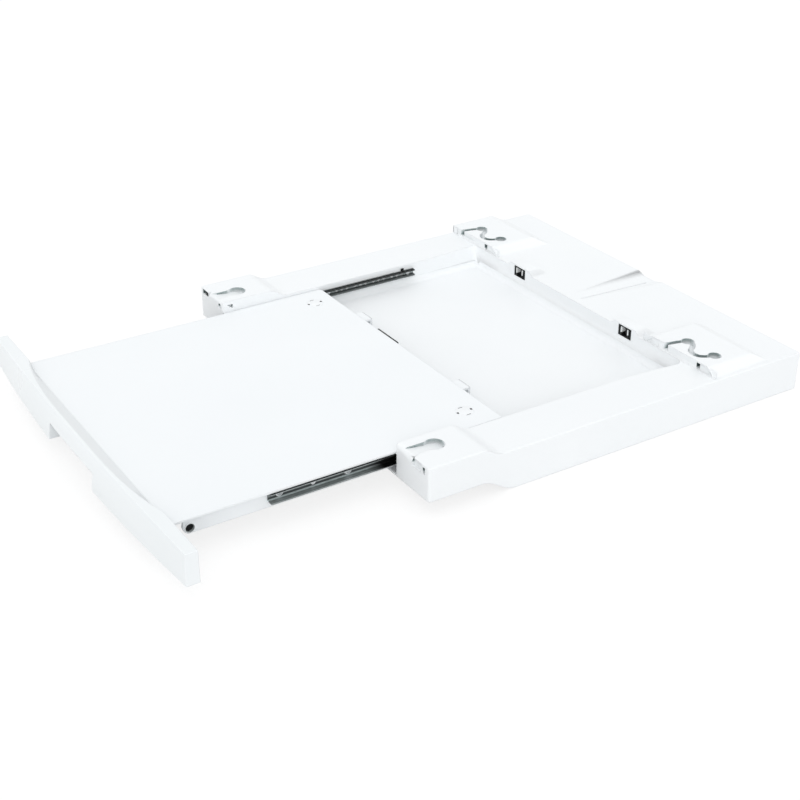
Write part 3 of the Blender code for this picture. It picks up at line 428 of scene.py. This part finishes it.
blackLook = {
    "colour": (0.006, 0.007, 0.008), "shade": (0.009, 0.010, 0.011), "dust": (0.02, 0.02, 0.02),
    "grainScale": 2600.0, "mottleScale": 40.0, "rough": (0.40, 0.52),
    "bump": 0.25, "bumpDepth": 0.00005, "specular": 0.12,
}
rubberLook = {
    "colour": (0.014, 0.015, 0.016), "shade": (0.020, 0.021, 0.022), "dust": (0.06, 0.06, 0.06),
    "grainScale": 3200.0, "mottleScale": 60.0, "rough": (0.55, 0.68),
    "bump": 0.3, "bumpDepth": 0.00005, "specular": 0.3,
}
ferriteLook = {
    "colour": (0.045, 0.046, 0.048), "shade": (0.06, 0.06, 0.062), "dust": (0.09, 0.09, 0.09),
    "grainScale": 2400.0, "mottleScale": 80.0, "rough": (0.6, 0.75),
    "bump": 0.4, "bumpDepth": 0.00006, "specular": 0.3,
}


# Steel finishes

trackShape = {  # how far the painted bands of light and shade reach, in millimetres, and how quickly the other shades come in
    "webSpan": 8.0, "armSpan": 12.0, "armBlend": 0.0003, "topBlend": (0.0012, 0.0009),
    "seamTone": 0.06, "seamBlend": 0.0002, "darkTone": 0.02,
}


def bandCurve(tree, value, bands, span, x, y):  # shade along a distance, from pairs of millimetres and shade
    curveNode = addNode(tree, "ShaderNodeFloatCurve", x, y, {
        "Value": spread(tree, value, 0.0, 1.0, x - 170, y, 0.0, span / 1000),
    })
    points = curveNode.mapping.curves[0].points
    for k, (distance, shade) in enumerate(bands):
        place = (distance / span, shade)
        if k < 2:
            points[k].location = place
        else:
            points.new(*place)
    for point in points:
        point.handle_type = "VECTOR"
    curveNode.mapping.update()
    return curveNode.outputs["Value"]


def paintedRailShading(tree, place, tone, look):  # painted light and shade by the place across a rail's profile: shadow in the channel and its gaps, light on the ridges and lips
    s = trackShape
    part = addNode(tree, "ShaderNodeSeparateXYZ", -1500, 760, {"Vector": place}).outputs
    height = mathNode(tree, "SUBTRACT", (part["Z"], look["middle"]), -1300, 760)
    away = mathNode(tree, "ABSOLUTE", (height,), -1140, 760)
    wide = mathNode(tree, "ABSOLUTE", (part["X"],), -1300, 560)
    beyond = mathNode(tree, "SUBTRACT", (wide, look["web"]), -1140, 560)
    out = mathNode(tree, "MULTIPLY", (beyond, look["outward"]), -980, 560)
    start = look["armStart"]
    both = addNode(tree, "ShaderNodeMix", -380, 660, {
        "Factor": spread(tree, away, 0.0, 1.0, -600, 400, start, start + s["armBlend"]),
        2: bandCurve(tree, away, look["webBands"], s["webSpan"], -600, 760),
        3: bandCurve(tree, out, look["armBands"], s["armSpan"], -600, 560),
    }, data_type="FLOAT")
    # the upper arm is painted lighter on the shelf rail and darker on the fixed rail
    top = spread(tree, height, 1.0, look["upperGain"], -600, 240, *(start - blend for blend in s["topBlend"]))
    shade = mathNode(tree, "MULTIPLY", (both.outputs[0], top), -200, 560)
    if look.get("seam"):  # painted shadow of the gap over the upper arm
        gap = spread(tree, height, 1.0, s["seamTone"], -600, -60, look["seam"], look["seam"] + s["seamBlend"])
        shade = mathNode(tree, "MULTIPLY", (shade, gap), -120, 460)
    if look.get("darkFrom"):  # painted shadow on the stretch that lies inside the base
        dark = spread(tree, part["Y"], 1.0, s["darkTone"], -600, 80, *look["darkFrom"])
        shade = mathNode(tree, "MULTIPLY", (shade, dark), -60, 560)
    return scaled(tree, tone, shade, 0, 400)


def steelMaterial(name, look):
    material, tree, surface, place = startMaterial(name)
    metal = addNode(tree, "ShaderNodeGroup", -1000, 0, {
        "Vector": place, "Streak Scale": look["streakScale"],
    }, node_tree=metalGroup).outputs
    stain = spread(tree, metal["Stain"], 0.0, 1.0, -750, 250)
    tone = mixColour(tree, stain, look["colour"], look["shade"], -500, 250)
    if look.get("webBands"):
        tone = paintedRailShading(tree, place, tone, look)
    # the lower part of a piece turns black below a given height
    if look.get("blackBelow"):
        level = addNode(tree, "ShaderNodeSeparateXYZ", -1000, 560, {"Vector": place}).outputs["Z"]
        bright = spread(tree, level, look["blackTone"], 1.0, -500, 560, *look["blackBelow"])
        tone = scaled(tree, tone, bright, -200, 400)
    bump = addNode(tree, "ShaderNodeBump", -300, -300, {
        "Strength": look["bump"], "Distance": look["bumpDepth"], "Height": metal["Streak"],
    })
    fillInputs(tree, surface, {
        "Base Color": tone, "Roughness": spread(tree, metal["Streak"], *look["rough"], -500, -50),
        "Normal": bump.outputs["Normal"], "Metallic": look["metallic"],
    })
    return material


railLook = {  # bands of painted light and shade, as pairs of millimetres and shade, along the web's height and out along the arms
    "colour": (0.90, 0.98, 0.98), "shade": (0.66, 0.74, 0.74), "streakScale": 900.0,
    "rough": (0.30, 0.46), "bump": 0.2, "bumpDepth": 0.00004, "metallic": 0.35,
    "middle": 0.0203, "web": 0.2160, "outward": 1.0, "armStart": 0.0059, "upperGain": 1.35,
    "seam": 0.0063, "darkFrom": (-0.330, -0.309),
    "webBands": ((0.0, 0.28), (1.9, 0.32), (2.4, 0.09), (4.6, 0.08), (5.3, 0.5), (8.0, 0.8)),
    "armBands": ((0.0, 0.85), (1.9, 1.0), (2.6, 0.80), (3.1, 0.03), (4.6, 0.03), (5.4, 0.17), (6.6, 0.17),
                 (7.2, 0.03), (8.6, 0.04), (9.4, 0.11), (12.0, 0.11)),
}
fixedRailLook = {
    "colour": (0.74, 0.82, 0.82), "shade": (0.52, 0.59, 0.59), "streakScale": 900.0,
    "rough": (0.34, 0.50), "bump": 0.2, "bumpDepth": 0.00004, "metallic": 0.35,
    "middle": 0.0203, "web": 0.2287, "outward": -1.0, "armStart": 0.0036, "upperGain": 0.20,
    # bands of painted light and shade, as on the shelf rail
    "webBands": ((0.0, 0.52), (1.8, 0.52), (2.4, 0.12), (3.0, 0.12), (8.0, 0.3)),
    "armBands": ((0.0, 0.9), (1.7, 1.0), (2.2, 0.04), (4.8, 0.01), (5.3, 0.22), (12.0, 0.22)),
}
brightLook = {
    "colour": (0.78, 0.80, 0.81), "shade": (0.66, 0.68, 0.70), "streakScale": 1400.0,
    "rough": (0.22, 0.36), "bump": 0.12, "bumpDepth": 0.00003, "metallic": 0.75,
}
sleeveLook = {**brightLook, "colour": (0.50, 0.53, 0.53), "shade": (0.42, 0.45, 0.45), "metallic": 0.1}
poleLook = {  # bright at the upper ends, black below a given height
    "colour": (0.95, 0.97, 0.97), "shade": (0.86, 0.88, 0.88), "streakScale": 1400.0,
    "rough": (0.30, 0.44), "bump": 0.12, "bumpDepth": 0.00003, "metallic": 0.2,
    "blackBelow": (0.0262, 0.0272), "blackTone": 0.02,
}

finishes = {
    "tray_plastic": plasticMaterial("trayPlastic", trayLook),
    "shelf_plastic": plasticMaterial("shelfPlastic", shelfLook),
    "fascia_plastic": plasticMaterial("fasciaPlastic", fasciaLook),
    "cap_plastic": plasticMaterial("capPlastic", trayLook),
    "clip_plastic": plasticMaterial("clipPlastic", blackLook),
    "catch_plastic": plasticMaterial("catchPlastic", blackLook),
    "plug_rubber": plasticMaterial("plugRubber", rubberLook),
    "magnet_ferrite": plasticMaterial("magnetFerrite", ferriteLook),
    "rail_steel": steelMaterial("railSteel", railLook),
    "cage_steel": steelMaterial("cageSteel", brightLook),
    "screw_steel": steelMaterial("screwSteel", brightLook),
    "pole_steel": steelMaterial("poleSteel", poleLook),
    "strike_steel": steelMaterial("strikeSteel", brightLook),
}
fixedRailSteel = steelMaterial("fixedRailSteel", fixedRailLook)
sleeveSteel = steelMaterial("sleeveSteel", sleeveLook)
print("finishes made")


def dress(piece, body, slot, *nodes, finish=None):
    piece.data.materials.clear()
    piece.data.materials.append(finish or finishes[slot])
    if nodes:
        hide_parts(*nodes)
    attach(piece, body)


def dressBoth(right, body, slot, node=None, finish=None):  # a piece on the right and its mirror image
    left = flipped(right, right.name.replace("Right", "Left"))
    for piece, side in ((right, "_right"), (left, "_left")):
        dress(piece, body, slot, *([node + side] if node else []), finish=finish)


# Soft-edged copies of the CAD pieces

mergeDistance = 0.000005
roundedForm = {"flat": 0.6, "sharp": 32.0, "smooth": 40.0}
mouldedForm = {"flat": 0.3, "smooth": 24.0, "weight": 100}
edgeWidths = {
    "rail_clip": 0.0004, "snap_cap": 0.0002, "strike_rivet": 0.0002, "strike_plate": 0.0003,
    "catch_body": 0.0005, "catch_magnet": 0.0003, "pole_plate_outer": 0.0002, "pole_plate_inner": 0.0002,
}
mouldings = ("base_tray", "shelf_panel")
fixedRails = ("fixed_rail_right", "fixed_rail_left")


def cadCopy(node, name, flat):  # faces that meet at less than the flat angle become one
    piece = copyOf(frame["nodes"][node], name)
    editAll(piece)
    bpy.ops.mesh.remove_doubles(threshold=mergeDistance)
    editAll(piece)
    bpy.ops.mesh.dissolve_limited(angle_limit=math.radians(flat))
    backToObject()
    return piece


def roundedCopy(node, width):
    s = roundedForm
    piece = cadCopy(node, node + "Form", s["flat"])
    soften(piece, width, 3, s["smooth"], s["sharp"], use_clamp_overlap=False, miter_outer="MITER_ARC")
    evenNormals(piece)
    return piece


def mouldedCopy(node):  # these edges are rounded in the material
    s = mouldedForm
    piece = cadCopy(node, node + "Form", s["flat"])
    smooth(piece, s["smooth"])
    evenNormals(piece, s["weight"])
    return piece


fasciaEdge = {
    "width": 0.0011, "segments": 3, "flat": 0.6, "sharp": 32.0, "smooth": 25.0,
    "front": -0.5960, "end": 0.2980, "top": 0.0030,
}


def fasciaCopy(node):  # only the outside edges are rounded, not those of the pockets behind
    s = fasciaEdge
    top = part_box(node)[1][2] - s["top"]

    def isOutside(edge):
        middle = (edge.verts[0].co + edge.verts[1].co) / 2
        outside = abs(middle.x) > s["end"] or middle.y < s["front"] or middle.z > top
        return outside and edge.is_manifold and edge.calc_face_angle(0.0) > math.radians(s["sharp"])

    piece = cadCopy(node, node + "Form", s["flat"])
    pick(piece, "EDGE", isOutside)
    bpy.ops.mesh.bevel(offset=s["width"], segments=s["segments"], affect="EDGES", clamp_overlap=False,
                       miter_outer="ARC")
    backToObject()
    smooth(piece, s["smooth"])
    evenNormals(piece)
    return piece


for node in sorted(frame["nodes"]):
    kind = next((key for key in edgeWidths if node.startswith(key)), None)
    if kind:
        dress(roundedCopy(node, edgeWidths[kind]), bodyOf[node], slotOf[node], node)
    elif node == "shelf_fascia":
        dress(fasciaCopy(node), bodyOf[node], slotOf[node], node)
    elif node in mouldings:
        dress(mouldedCopy(node), bodyOf[node], slotOf[node], node)
    else:
        for entry in frame["nodes"][node].material_slots:
            entry.material = fixedRailSteel if node in fixedRails else finishes[slotOf[node]]
print("pieces dressed")


# Pan-head screws with a cross recess

endFacing = 0.9  # an end face's normal points at least this far along the axis
screwShape = {
    "headRadius": 0.0031, "headHeight": 0.0012, "headSides": 28, "brimShare": 0.35, "domeShare": 0.35,
    "shankRadius": 0.0013, "shankLength": 0.0055, "shankSides": 16, "tipShare": 0.6,
    "slotLength": 0.0036, "slotWidth": 0.0008, "slotDepth": 0.0008, "overrun": 0.001, "smooth": 40.0,
    "fasciaSeat": 0.0016, "railSeat": 0.0006,
}


def makeScrew():  # head towards +X, its underside at the origin
    s = screwShape
    head = addDrum("screwHead", (s["headHeight"] / 2, 0, 0), s["headRadius"], s["headHeight"], s["headSides"])
    pick(head, "FACE", lambda face: face.normal.x > endFacing)
    bpy.ops.mesh.inset(thickness=s["headRadius"] * s["brimShare"])
    bpy.ops.transform.translate(value=(s["headHeight"] * s["domeShare"], 0, 0))
    backToObject()
    top = s["headHeight"] * (1 + s["domeShare"])
    slot = (top - s["slotDepth"], top + s["overrun"])
    long, narrow = ((-size / 2, size / 2) for size in (s["slotLength"], s["slotWidth"]))
    cutAway(head, addBlock("slotBar", slot, long, narrow), addBlock("slotBar", slot, narrow, long))
    shankPlace = (-s["shankLength"] / 2, 0, 0)
    shank = addDrum("screwShank", shankPlace, s["shankRadius"], s["shankLength"], s["shankSides"])
    pick(shank, "FACE", lambda face: face.normal.x < -endFacing)
    bpy.ops.mesh.inset(thickness=s["shankRadius"] * s["tipShare"])
    bpy.ops.transform.translate(value=(-s["shankRadius"], 0, 0))
    backToObject()
    whole = joinAll([head, shank], "screwShape")
    smooth(whole, s["smooth"])
    return whole


def setScrews():
    pattern = makeScrew()
    seat = screwShape["railSeat"]
    for node in sorted(frame["nodes"]):
        if "_screw_" not in node:
            continue
        low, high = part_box(node)
        place = middleOf(node)
        if node.startswith("fascia"):
            turn = math.pi / 2
            place[1] = high[1] - screwShape["fasciaSeat"]
        elif node.startswith("shelf") == ("right" in node):  # the head looks to the right
            turn = 0.0
            place[0] = high[0] - seat
        else:
            turn = math.pi
            place[0] = low[0] + seat
        dress(copyTo(pattern, node + "Form", place, turn), bodyOf[node], slotOf[node], node)
    bpy.data.objects.remove(pattern)


setScrews()
print("screws set")


# Bumper plugs: a white rim, a steel sleeve and a black core sunk in it

plugShape = {
    "rim": 0.0062, "sleeve": 0.0057, "bore": 0.0053, "play": 0.0001, "sunk": 0.0034, "sleeveDepth": 0.0042,
    "sleeveSunk": 0.0001, "lip": 0.0012, "dish": 0.0008, "edge": 0.0001, "sides": 40, "smooth": 40.0,
}


def makePlugs():
    s = plugShape
    low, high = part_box("bumper_plug_right")
    middle = middleOf("bumper_plug_right")
    centre = middle[1:]
    face = high[0]
    core = addDrum("plugCoreRight", middle, s["bore"] - s["play"], face - low[0], s["sides"])
    pick(core, "FACE", lambda side: side.normal.x > endFacing)
    bpy.ops.transform.translate(value=(-s["sunk"], 0, 0))
    bpy.ops.mesh.inset(thickness=s["lip"])
    bpy.ops.transform.translate(value=(-s["dish"], 0, 0))
    backToObject()
    smooth(core, s["smooth"])
    depth = s["sleeveDepth"]
    sleeve = addRing("plugSleeveRight", centre, s["sleeve"], s["bore"], face - s["sleeveSunk"], depth)
    rim = addRing("plugRimRight", centre, s["rim"], s["sleeve"], face, depth)
    for ring in (sleeve, rim):
        soften(ring, s["edge"], 2)
    dressBoth(core, "shelf", "clip_plastic", "bumper_plug")
    dressBoth(sleeve, "shelf", "screw_steel", finish=sleeveSteel)
    dressBoth(rim, "shelf", "cap_plastic")


makePlugs()


# Thin webs behind the small openings of the rear pads and the front blocks

padWebs = (  # left, right, low and high end of each web, and how far it stands back
    ("padWebRightInner", 0.1735, 0.1869, 0.0339, 0.0429, 0.0),
    ("padWebRightShallow", 0.1560, 0.1740, 0.0336, 0.0429, 0.0010),
    ("padWebRightOuter", 0.2845, 0.2905, 0.0339, 0.0387, 0.0),
    ("padWebRightDeep", 0.2660, 0.2965, 0.0336, 0.0432, 0.0013),
    ("padWebLeftOuter", -0.2992, -0.2860, 0.0339, 0.0429, 0.0),
    ("padWebLeftDeep", -0.2080, -0.1775, 0.0336, 0.0432, 0.0013),
    ("padWebLeftInner", -0.1895, -0.1835, 0.0339, 0.0387, 0.0),
)
webShape = {
    "front": 0.1450, "depth": 0.0010, "edge": 0.00008,
    "slopedBelow": 0.0400, "corner": 0.0005, "lean": 0.0030,
}
notchWeb = {"x": (0.2342, 0.2352), "y": (-0.2886, -0.2790), "z": (0.0330, 0.0396), "edge": 0.00008}


def makeWebs():
    s = webShape
    for name, left, right, low, high, back in padWebs:
        front = s["front"] + back
        web = addBlock(name, (left, right), (front, front + s["depth"]), (low, high))
        if high < s["slopedBelow"]:  # the low webs follow the slope of the pad's flank
            middle = (left + right) / 2
            pick(web, "VERT", lambda vert: vert.co.z > high - s["corner"] and vert.co.x > middle)
            bpy.ops.transform.translate(value=(-s["lean"], 0, 0))
            backToObject()
        soften(web, s["edge"], 2)
        dress(web, "base", "tray_plastic")
    dressBoth(addSoftBlock("notchWebRight", notchWeb), "base", "tray_plastic")


makeWebs()


# Guide strips over the slides, between the shelf's edges and the walls of the base

guideShape = {"x": (0.2256, 0.2289), "y": (-0.2940, -0.1400), "z": (0.0276, 0.0289), "edge": 0.0003}
dressBoth(addSoftBlock("shelfGuideRight", guideShape), "base", "tray_plastic")


# Lip of the fascia that closes the joint with the shelf along the scoop

lipShape = {"half": 0.2120, "front": 0.0006, "rear": 0.0010, "deep": 0.0006, "proud": 0.00008, "edge": 0.0002}


def makeLip():
    s = lipShape
    low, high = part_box("shelf_panel")
    lip = addBlock("fasciaLip", (-s["half"], s["half"]), (low[1] - s["front"], low[1] + s["rear"]),
                   (high[2] - s["deep"], high[2] + s["proud"]))
    soften(lip, s["edge"], 2)
    dress(lip, "shelf", "fascia_plastic")


makeLip()


# Coves where the bay's floor meets its walls

coveShape = {
    "radius": 0.009, "reachShare": 0.93, "floor": 0.0025, "rearWall": 0.1440, "sideWall": 0.2290,
    "front": -0.1300, "sink": 0.0006, "cutLength": 0.6, "sides": 96, "smooth": 25.0,
}


def makeCove(name, x, y, z, centre, axis):
    s = coveShape
    cove = addBlock(name, x, y, z)
    cutAway(cove, addDrum("coveCutter", centre, s["radius"], s["cutLength"], s["sides"], axis))
    smooth(cove, s["smooth"])
    return cove


def makeCoves():
    s = coveShape
    radius, rear, side = s["radius"], s["rearWall"], s["sideWall"]
    reach = radius * s["reachShare"]
    height = (s["floor"] - s["sink"], s["floor"] + reach)
    level = s["floor"] + radius
    rearCove = makeCove("bayCoveRear", (-side, side), (rear - reach, rear + s["sink"]), height,
                        (0, rear - radius, level), "X")
    sideCove = makeCove("bayCoveRight", (side - reach, side + s["sink"]), (s["front"], rear), height,
                        (side - radius, 0, level), "Y")
    dress(rearCove, "base", "tray_plastic")
    dressBoth(sideCove, "base", "tray_plastic")


makeCoves()


# Black block that stands for the shadow inside the left block's front opening

openingShadowShape = {"x": (-0.2838, -0.2742), "y": (-0.2948, -0.2925), "z": (0.0366, 0.0402), "edge": 0.0004}
dress(addSoftBlock("blockOpeningShadow", openingShadowShape), "base", "clip_plastic")


# Black strip behind the shelf's rear edge, that stands for the dark line of shade there

rearShadeShape = {"x": (-0.0700, -0.0190), "y": (-0.13892, -0.1352), "z": (0.0226, 0.0290), "edge": 0.0003}
dress(addSoftBlock("rearShadeStrip", rearShadeShape, 3), "shelf", "plug_rubber")


# White faces of the snap caps, each with two black marks and two fine dark arcs laid on it, that stand for
# the shade in its wells and slots

capShape = {
    "lift": 0.00005, "sunk": 0.0004, "overhang": 0.0007, "depth": 0.0009, "edge": 0.0001, "sides": 48,
    "circle": 0.0098, "well": 0.0026, "wellSweep": 0.34, "arc": 0.0009, "arcSweep": 0.62,
    "proud": 0.00006, "deep": 0.0005, "steps": 10, "merge": 0.000002,
}


def curvedBar(name, width, middle, sweep):  # round the upright axis, its top at the origin's level
    s = capShape
    deselectAll()
    start = middle + sweep / 2  # the spin turns clockwise
    place = (s["circle"] * math.cos(start), s["circle"] * math.sin(start), -s["deep"] / 2)
    bpy.ops.mesh.primitive_plane_add(size=1.0, location=place, rotation=(math.pi / 2, 0, start))
    piece = newest(name)
    piece.scale = (width, s["deep"], 1.0)
    settle(piece)
    editAll(piece)
    bpy.ops.mesh.spin(steps=s["steps"], angle=sweep, center=(0, 0, 0), axis=(0, 0, 1), dupli=False)
    bpy.ops.mesh.select_all(action="SELECT")
    bpy.ops.mesh.remove_doubles(threshold=s["merge"])
    bpy.ops.mesh.normals_make_consistent(inside=False)
    backToObject()
    return piece


def markCaps():
    s = capShape
    well = curvedBar("well", s["well"], math.pi / 2, s["wellSweep"])
    arc = curvedBar("arc", s["arc"], 0.0, s["arcSweep"])
    for side in ("right", "left"):
        low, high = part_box("snap_cap_" + side)
        centre = middleOf("snap_cap_" + side)[:2]
        place = (*centre, high[2] + s["lift"] + s["proud"])
        disc = addDrum("capFace" + side.capitalize(), (*centre, high[2] - s["sunk"]),
                       high[0] - centre[0] + s["overhang"], s["depth"], s["sides"], "Z")
        soften(disc, s["edge"], 2)
        dress(disc, "shelf", "cap_plastic", "snap_cap_" + side)
        # dark marks that stand for the shade in the cap's wells and arcs
        for pattern, name, slot in ((well, "capWellShades", "clip_plastic"), (arc, "capArcShades", "magnet_ferrite")):
            pair = [copyTo(pattern, name, place, turn) for turn in (0.0, math.pi)]
            dress(joinAll(pair, name + side.capitalize()), "shelf", slot)
    bpy.data.objects.remove(well)
    bpy.data.objects.remove(arc)


markCaps()
print("plugs, webs, strips, lip, coves and cap marks made")


# White pegs of the tray in the fixed rails' holes

pegShape = {
    "radius": 0.00155, "root": 0.2286, "head": 0.0023, "headRoot": 0.22788, "face": 0.22765,
    "edge": 0.000075, "sides": 16, "fromEnd": 0.0295, "spacing": 0.009, "pitch": 0.032, "triplets": 4,
}


def makePeg():  # a pin and its flat head, along the X axis
    s = pegShape
    parts = []
    for radius, root in ((s["radius"], s["root"]), (s["head"], s["headRoot"])):
        part = addDrum("peg", ((s["face"] + root) / 2, 0, 0), radius, root - s["face"], s["sides"])
        soften(part, s["edge"], 2)
        parts.append(part)
    return joinAll(parts, "peg")


def setPegs():
    s = pegShape
    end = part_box("fixed_rail_right")[1][1]
    level = middleOf("fixed_rail_right")[2]
    pattern = makePeg()
    pegs = []
    for triplet in range(s["triplets"]):
        for step in (-1, 0, 1):
            y = end - s["fromEnd"] - triplet * s["pitch"] + step * s["spacing"]
            pegs.append(copyTo(pattern, "peg", (0, y, level)))
    bpy.data.objects.remove(pattern)
    dressBoth(joinAll(pegs, "railPegsRight"), "base", "cap_plastic")


setPegs()


# Shelf rails with their large holes

roundHole = {"place": 0.059, "radius": 0.0034, "length": 0.0068}
longHole = {"place": 0.105, "radius": 0.0036, "length": 0.0125}
holeShape = {"inset": 0.0005, "drop": 0.0006, "depth": 0.004, "sides": 24, "flat": 0.3, "smooth": 30.0}


def holeLevel():
    return middleOf("shelf_rail_right")[2] - holeShape["drop"]


def makeShelfRails():
    s = holeShape
    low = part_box("shelf_rail_right")[0]
    rail = cadCopy("shelf_rail_right", "shelfRailRightForm", s["flat"])
    for hole in (roundHole, longHole):
        y = low[1] + hole["place"]
        tool = addDrum("hole", (low[0] + s["inset"], y, holeLevel()), hole["radius"], s["depth"], s["sides"])
        stretch = hole["length"] / hole["radius"] / 2
        tool.scale = (1.0, stretch, 1.0)
        tool.location = (0.0, y * (1 - stretch), 0.0)
        settle(tool)
        cutAway(rail, tool)
    smooth(rail, s["smooth"])
    dressBoth(rail, "shelf", "rail_steel", "shelf_rail")


makeShelfRails()


# White washers round the shelf rail's screws, and a peg in its round hole

washerShape = {"outer": 0.0048, "inner": 0.00315, "depth": 0.0005, "face": 0.00085, "edge": 0.0001}
holePeg = {"sunk": 0.0003, "play": 0.0001, "depth": 0.0008}


def setWashers():
    s = washerShape
    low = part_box("shelf_rail_right")[0]
    face = low[0] + s["face"]
    pattern = addRing("washer", (0, 0), s["outer"], s["inner"], face + s["depth"], s["depth"])
    rings = []
    for node in sorted(frame["nodes"]):
        if node.startswith("shelf_rail_screw_right"):
            rings.append(copyTo(pattern, "washer", (0, *middleOf(node)[1:])))
    bpy.data.objects.remove(pattern)
    rings.append(addDrum("holePeg", (face - holePeg["sunk"], low[1] + roundHole["place"], holeLevel()),
                         roundHole["radius"] - holePeg["play"], holePeg["depth"], holeShape["sides"]))
    washers = joinAll(rings, "railWashersRight")
    soften(washers, s["edge"], 2)
    dressBoth(washers, "shelf", "cap_plastic")


setWashers()
print("rails made")


# Camera, floor and light

view = {
    "place": (1.4283, -1.0503, 0.8773), "turn": (61.30, 0.0, 57.63),
    "lens": 63.45, "sensor": 36.0, "reach": 60.0,
}
floorShape = {"size": 12.0, "level": -0.0205}
white = (1.0, 1.0, 1.0, 1.0)
floorLook = {  # paper is the grey that lights the object, seen and glow are what the camera sees
    "paper": (0.82, 0.82, 0.82, 1.0), "seen": (0.22, 0.22, 0.22, 1.0), "glow": 0.80,
}
light = {
    "world": 0.86, "worldColour": (0.985, 0.995, 1.0),
    "suns": {  # strength, where the light comes from and how wide it is, in degrees
        "topLight": (0.46, (0.05, -0.20, 1.0), 70.0),
        "sideLight": (0.66, (0.82, -0.42, 0.40), 50.0),
    },
}


def placeCamera():
    lensData = bpy.data.cameras.new("camera")
    lensData.lens = view["lens"]
    lensData.sensor_width = view["sensor"]
    lensData.clip_end = view["reach"]
    holder = bpy.data.objects.new("camera", lensData)
    bpy.context.scene.collection.objects.link(holder)
    holder.location = view["place"]
    holder.rotation_euler = [math.radians(turn) for turn in view["turn"]]
    bpy.context.scene.camera = holder


def mixSeen(tree, given, seen):  # one shader for the light that is given, another for what is seen
    rays = addNode(tree, "ShaderNodeLightPath", -400, 340).outputs
    direct = mathNode(tree, "MAXIMUM", (rays["Is Camera Ray"], rays["Is Glossy Ray"]), -200, 340)
    either = mathNode(tree, "MAXIMUM", (direct, rays["Is Transmission Ray"]), 0, 340)
    return addNode(tree, "ShaderNodeMixShader", 400, 0, {"Fac": either, 1: given, 2: seen}).outputs[0]


def floorMaterial():
    s = floorLook
    material = bpy.data.materials.new("studioFloor")
    material.use_nodes = True
    tree = material.node_tree
    tree.nodes.clear()
    paper = addNode(tree, "ShaderNodeBsdfDiffuse", -200, 100, {"Color": s["paper"]})
    seen = addNode(tree, "ShaderNodeBsdfDiffuse", -200, -60, {"Color": s["seen"]})
    glow = addNode(tree, "ShaderNodeEmission", -200, -220, {"Color": white, "Strength": s["glow"]})
    lit = addNode(tree, "ShaderNodeAddShader", 100, -120, {0: seen.outputs[0], 1: glow.outputs[0]})
    mix = mixSeen(tree, paper.outputs[0], lit.outputs[0])
    addNode(tree, "ShaderNodeOutputMaterial", 600, 0, {"Surface": mix})
    return material


def layFloor():
    deselectAll()
    bpy.ops.mesh.primitive_plane_add(size=floorShape["size"], location=(0, 0, floorShape["level"]))
    floor = newest("studioFloor")
    settle(floor)
    floor.data.materials.append(floorMaterial())


def lightWorld():
    world = bpy.data.worlds.new("studio")
    bpy.context.scene.world = world
    world.use_nodes = True
    tree = world.node_tree
    tree.nodes.clear()
    seen = addNode(tree, "ShaderNodeBackground", 0, -120, {"Color": white})
    given = addNode(tree, "ShaderNodeBackground", 0, 60, {
        "Color": (*light["worldColour"], 1.0), "Strength": light["world"],
    })
    mix = mixSeen(tree, given.outputs[0], seen.outputs[0])
    addNode(tree, "ShaderNodeOutputWorld", 600, 0, {"Surface": mix})


def hangSuns():
    for name, (strength, source, width) in light["suns"].items():
        lamp = bpy.data.lights.new(name, "SUN")
        lamp.energy = strength
        lamp.angle = math.radians(width)
        holder = bpy.data.objects.new(name, lamp)
        bpy.context.scene.collection.objects.link(holder)
        holder.rotation_euler = Vector(source).to_track_quat("Z", "Y").to_euler()


placeCamera()
layFloor()
lightWorld()
hangSuns()
bpy.context.scene.view_settings.view_transform = "Standard"
print("camera, floor and light set")
